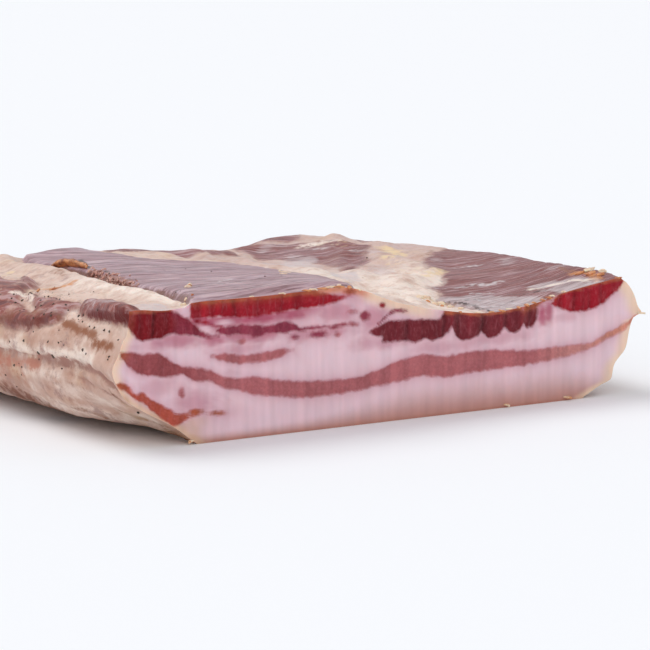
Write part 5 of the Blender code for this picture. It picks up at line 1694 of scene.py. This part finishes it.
def flake_row(t):
    """Points in metres across the curled flake, a share t of the way along its path."""
    shares = np.linspace(0, 1, len(FLAKE_PATH))
    along, deep = (float(smooth_through(list(zip(shares, line)), t)) for line in zip(*FLAKE_PATH))
    foot, _ = surface_at(along, deep)
    tall = FLAKE_HEIGHT * (0.35 + 0.65 * math.sin(math.pi * t) ** 0.7)
    tall *= 1 + 0.25 * noise.noise(Vector((7 * t, 2.2, 0)))
    row = []
    for s in np.linspace(0, 1, FLAKE_COLUMNS):
        out = -FLAKE_CURL * math.sin(0.6 * math.pi * s) + FLAKE_RETURN * s * s
        out += 0.5 * noise.noise(Vector((9 * t, 3 * s, 4.1)))
        up = -FLAKE_SUNK + tall * s ** 0.8 + 0.3 * noise.noise(Vector((11 * t, 3 * s, 8.7)))
        row.append(foot + Vector((out, 0.4 * out, up)) * MM)
    return row


def tag_rows(start, way, length, width, droop):
    """Rows of points in metres down one tag, which narrows to its tip and droops there."""
    way = Vector(way).normalized()
    side = way.cross(Vector((0, 0, 1))).normalized()
    rows = []
    for t in np.linspace(-TAG_ROOT, 1, TAG_ROWS):
        half = 0.5 * width * (1 - 0.8 * max(t, 0)) * MM
        fall = Vector((0, 0, -droop * length * max(t, 0) ** 2 * MM))
        centre = start + way * length * t * MM + fall
        rows.append([centre + side * half * s for s in np.linspace(-1, 1, TAG_COLUMNS)])
    return rows


class PANCETTA_OT_meat(bpy.types.Operator):
    """Makes the slab with its marbled cut and dried outside"""

    bl_idname = "pancetta.meat"
    bl_label = "Meat"

    def execute(self, context):
        settings = context.scene.pancetta_meat
        names = [name for name in PancettaMeat.__annotations__ if name != "subsurface"]
        mesh = meat_mesh({name: np.array(getattr(settings, name)) for name in names})
        for finish in (fresh_cut_pork_belly, air_dried_pork_belly, cured_rind):
            mesh.materials.append(finish(settings))
        piece = bpy.data.objects.new("pancetta_meat", mesh)
        context.scene.collection.objects.link(piece)
        as_piece(piece)
        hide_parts(NODE)
        return {"FINISHED"}


class PANCETTA_OT_pepper(bpy.types.Operator):
    """Strews cracked pepper over the dried outside"""

    bl_idname = "pancetta.pepper"
    bl_label = "Cracked Pepper"

    def execute(self, context):
        settings = context.scene.pancetta_pepper
        piece = scattered("cracked_pepper", meat_piece(), scatter_tree("cracked pepper"), {
            **PEPPER_SHAPE, "Mask": "pepper", "Per m2": settings.per_cm2 * CM2_PER_M2,
            "Smallest": settings.smallest, "Largest": settings.largest, "Seed": settings.seed,
            "Material": cracked_peppercorn(settings),
        })
        shape = bmesh.new()
        shape.from_mesh(piece.data)
        places = [(surface_at(0, deep, height), size) for deep, height, size in WALL_GRAINS]
        places += [(surface_at(along, deep), size) for along, deep, size in TOP_GRAINS]
        for i, ((point, normal), size) in enumerate(places):
            sizes = [share * size for share in GRAIN_SHARES]
            lump(shape, point, normal, sizes, 1.9 * i, 5.3 * i, fineness=2)
        shape.to_mesh(piece.data)
        shape.free()
        as_piece(piece)
        return {"FINISHED"}


class PANCETTA_OT_seam_tissue(bpy.types.Operator):
    """Strews ragged dried tissue along the groove beside the flap"""

    bl_idname = "pancetta.seam_tissue"
    bl_label = "Seam Tissue"

    def execute(self, context):
        settings = context.scene.pancetta_bits
        finish = dried_bits("dried_connective_tissue", (settings.tissue, settings.pale_tissue), 0.5)
        piece = scattered("seam_tissue", meat_piece(), scatter_tree("seam tissue"), {
            **TISSUE_SHAPE, "Mask": "tissue", "Per m2": settings.tissue_per_cm2 * CM2_PER_M2,
            "Material": finish,
        })
        piece.data.shade_smooth()
        as_piece(piece)
        return {"FINISHED"}


class PANCETTA_OT_crumbs(bpy.types.Operator):
    """Sets the crumbs and lumps of fat that lie on the top and along the cut's upper edge"""

    bl_idname = "pancetta.crumbs"
    bl_label = "Crumbs of Fat"

    def execute(self, context):
        settings = context.scene.pancetta_bits
        cream = dried_bits("dried_cream_fat", (settings.crumb, settings.dull_crumb), 0.45)
        orange = dried_bits("dried_orange_fat", (settings.orange, settings.burnt), 0.4)
        lumps_on_top("cream_crumbs", CREAM_LUMPS, cream, 2.0)
        lumps_on_top("orange_crumbs", ORANGE_LUMPS, orange, 60.0)
        return {"FINISHED"}


class PANCETTA_OT_flake(bpy.types.Operator):
    """Curls up the dried edge of the flap at its far left"""

    bl_idname = "pancetta.flake"
    bl_label = "Curled Flake"

    def execute(self, context):
        settings = context.scene.pancetta_bits
        shape = bmesh.new()
        sheet(shape, [flake_row(t) for t in np.linspace(0, 1, FLAKE_ROWS)], FLAKE_THICKNESS)
        finish = dried_bits("curled_dried_edge", (settings.orange, settings.brown), 0.4)
        as_piece(mesh_piece("peeled_flake", shape, finish))
        return {"FINISHED"}


class PANCETTA_OT_tags(bpy.types.Operator):
    """Adds the little tags of skin that stick out at the slab's edges"""

    bl_idname = "pancetta.tags"
    bl_label = "Skin Tags"

    def execute(self, context):
        settings = context.scene.pancetta_bits
        shape = bmesh.new()
        for place, length, width, way, droop in SKIN_TAGS:
            sheet(shape, tag_rows(slab_place(*place), way, length, width, droop), TAG_THICKNESS)
        finish = dried_bits("dried_skin_tags", (settings.crumb, settings.orange), 0.45)
        as_piece(mesh_piece("skin_tags", shape, finish))
        return {"FINISHED"}


class PANCETTA_OT_stage(bpy.types.Operator):
    """Makes the plain pale floor, the soft lights and the camera"""

    bl_idname = "pancetta.stage"
    bl_label = "Stage"

    def execute(self, context):
        settings = context.scene.pancetta_stage
        scene = context.scene
        shape = bmesh.new()
        bmesh.ops.create_grid(shape, x_segments=1, y_segments=1, size=settings.floor_size / 2)
        material, _, _ = new_material(
            "matte_pale_floor", settings.floor, Base_Color=(*settings.floor, 1), Roughness=0.9
        )
        floor = mesh_piece("floor", shape, material)

        world = bpy.data.worlds.new("soft_studio")
        world.use_nodes = True
        sky = world.node_tree.nodes["Background"]
        sky.inputs["Color"].default_value = SKY_COLOUR
        sky.inputs["Strength"].default_value = settings.sky_strength
        scene.world = world
        for name, place, spread in LAMPS:
            light = bpy.data.lights.new(name, "SUN")
            light.angle = math.radians(spread)
            light.energy = getattr(settings, name + "_strength")
            lamp = bpy.data.objects.new(name, light)
            lamp.location = place
            lamp.rotation_euler = (-Vector(place)).to_track_quat("-Z", "Y").to_euler()
            scene.collection.objects.link(lamp)

        scene.view_settings.view_transform = "Standard"
        scene.view_settings.look = "None"
        camera = bpy.data.objects.new("camera", bpy.data.cameras.new("camera"))
        camera.data.lens = settings.lens
        camera.data.sensor_width = SENSOR_WIDTH
        camera.data.clip_end = FURTHEST_SEEN
        camera.location = CAMERA_PLACE
        turn, tilt = math.radians(CAMERA_TURN), math.radians(CAMERA_TILT)
        looking = Vector((math.sin(turn) * math.cos(tilt), math.cos(turn) * math.cos(tilt), -math.sin(tilt)))
        camera.rotation_euler = looking.to_track_quat("-Z", "Y").to_euler()
        scene.collection.objects.link(camera)
        scene.camera = camera
        return {"FINISHED"}


class PANCETTA_PT_panel(bpy.types.Panel):
    """Lists the steps in the order in which they run, then their settings"""

    bl_label = "Pancetta"
    bl_idname = "PANCETTA_PT_panel"
    bl_space_type = "VIEW_3D"
    bl_region_type = "UI"
    bl_category = "Pancetta"

    def draw(self, context):
        for operator in STEPS:
            self.layout.operator(operator.bl_idname)
        for name, _ in GROUPS:
            settings = getattr(context.scene, name)
            for key in settings.__annotations__:
                self.layout.prop(settings, key)


GROUPS = (
    ("pancetta_meat", PancettaMeat), ("pancetta_pepper", PancettaPepper), ("pancetta_bits", PancettaBits),
    ("pancetta_stage", PancettaStage),
)
STEPS = (
    PANCETTA_OT_meat, PANCETTA_OT_pepper, PANCETTA_OT_seam_tissue, PANCETTA_OT_crumbs, PANCETTA_OT_flake,
    PANCETTA_OT_tags, PANCETTA_OT_stage,
)


def register():
    for name, group in GROUPS:
        bpy.utils.register_class(group)
        setattr(bpy.types.Scene, name, PointerProperty(type=group))
    for listed in (*STEPS, PANCETTA_PT_panel):
        bpy.utils.register_class(listed)


def unregister():
    for listed in (PANCETTA_PT_panel, *reversed(STEPS)):
        bpy.utils.unregister_class(listed)
    for name, group in reversed(GROUPS):
        delattr(bpy.types.Scene, name)
        bpy.utils.unregister_class(group)


def main():
    register()
    bpy.ops.pancetta.meat()
    bpy.ops.pancetta.pepper()
    bpy.ops.pancetta.seam_tissue()
    bpy.ops.pancetta.crumbs()
    bpy.ops.pancetta.flake()
    bpy.ops.pancetta.tags()
    bpy.ops.pancetta.stage()


if __name__ == "__main__":
    main()
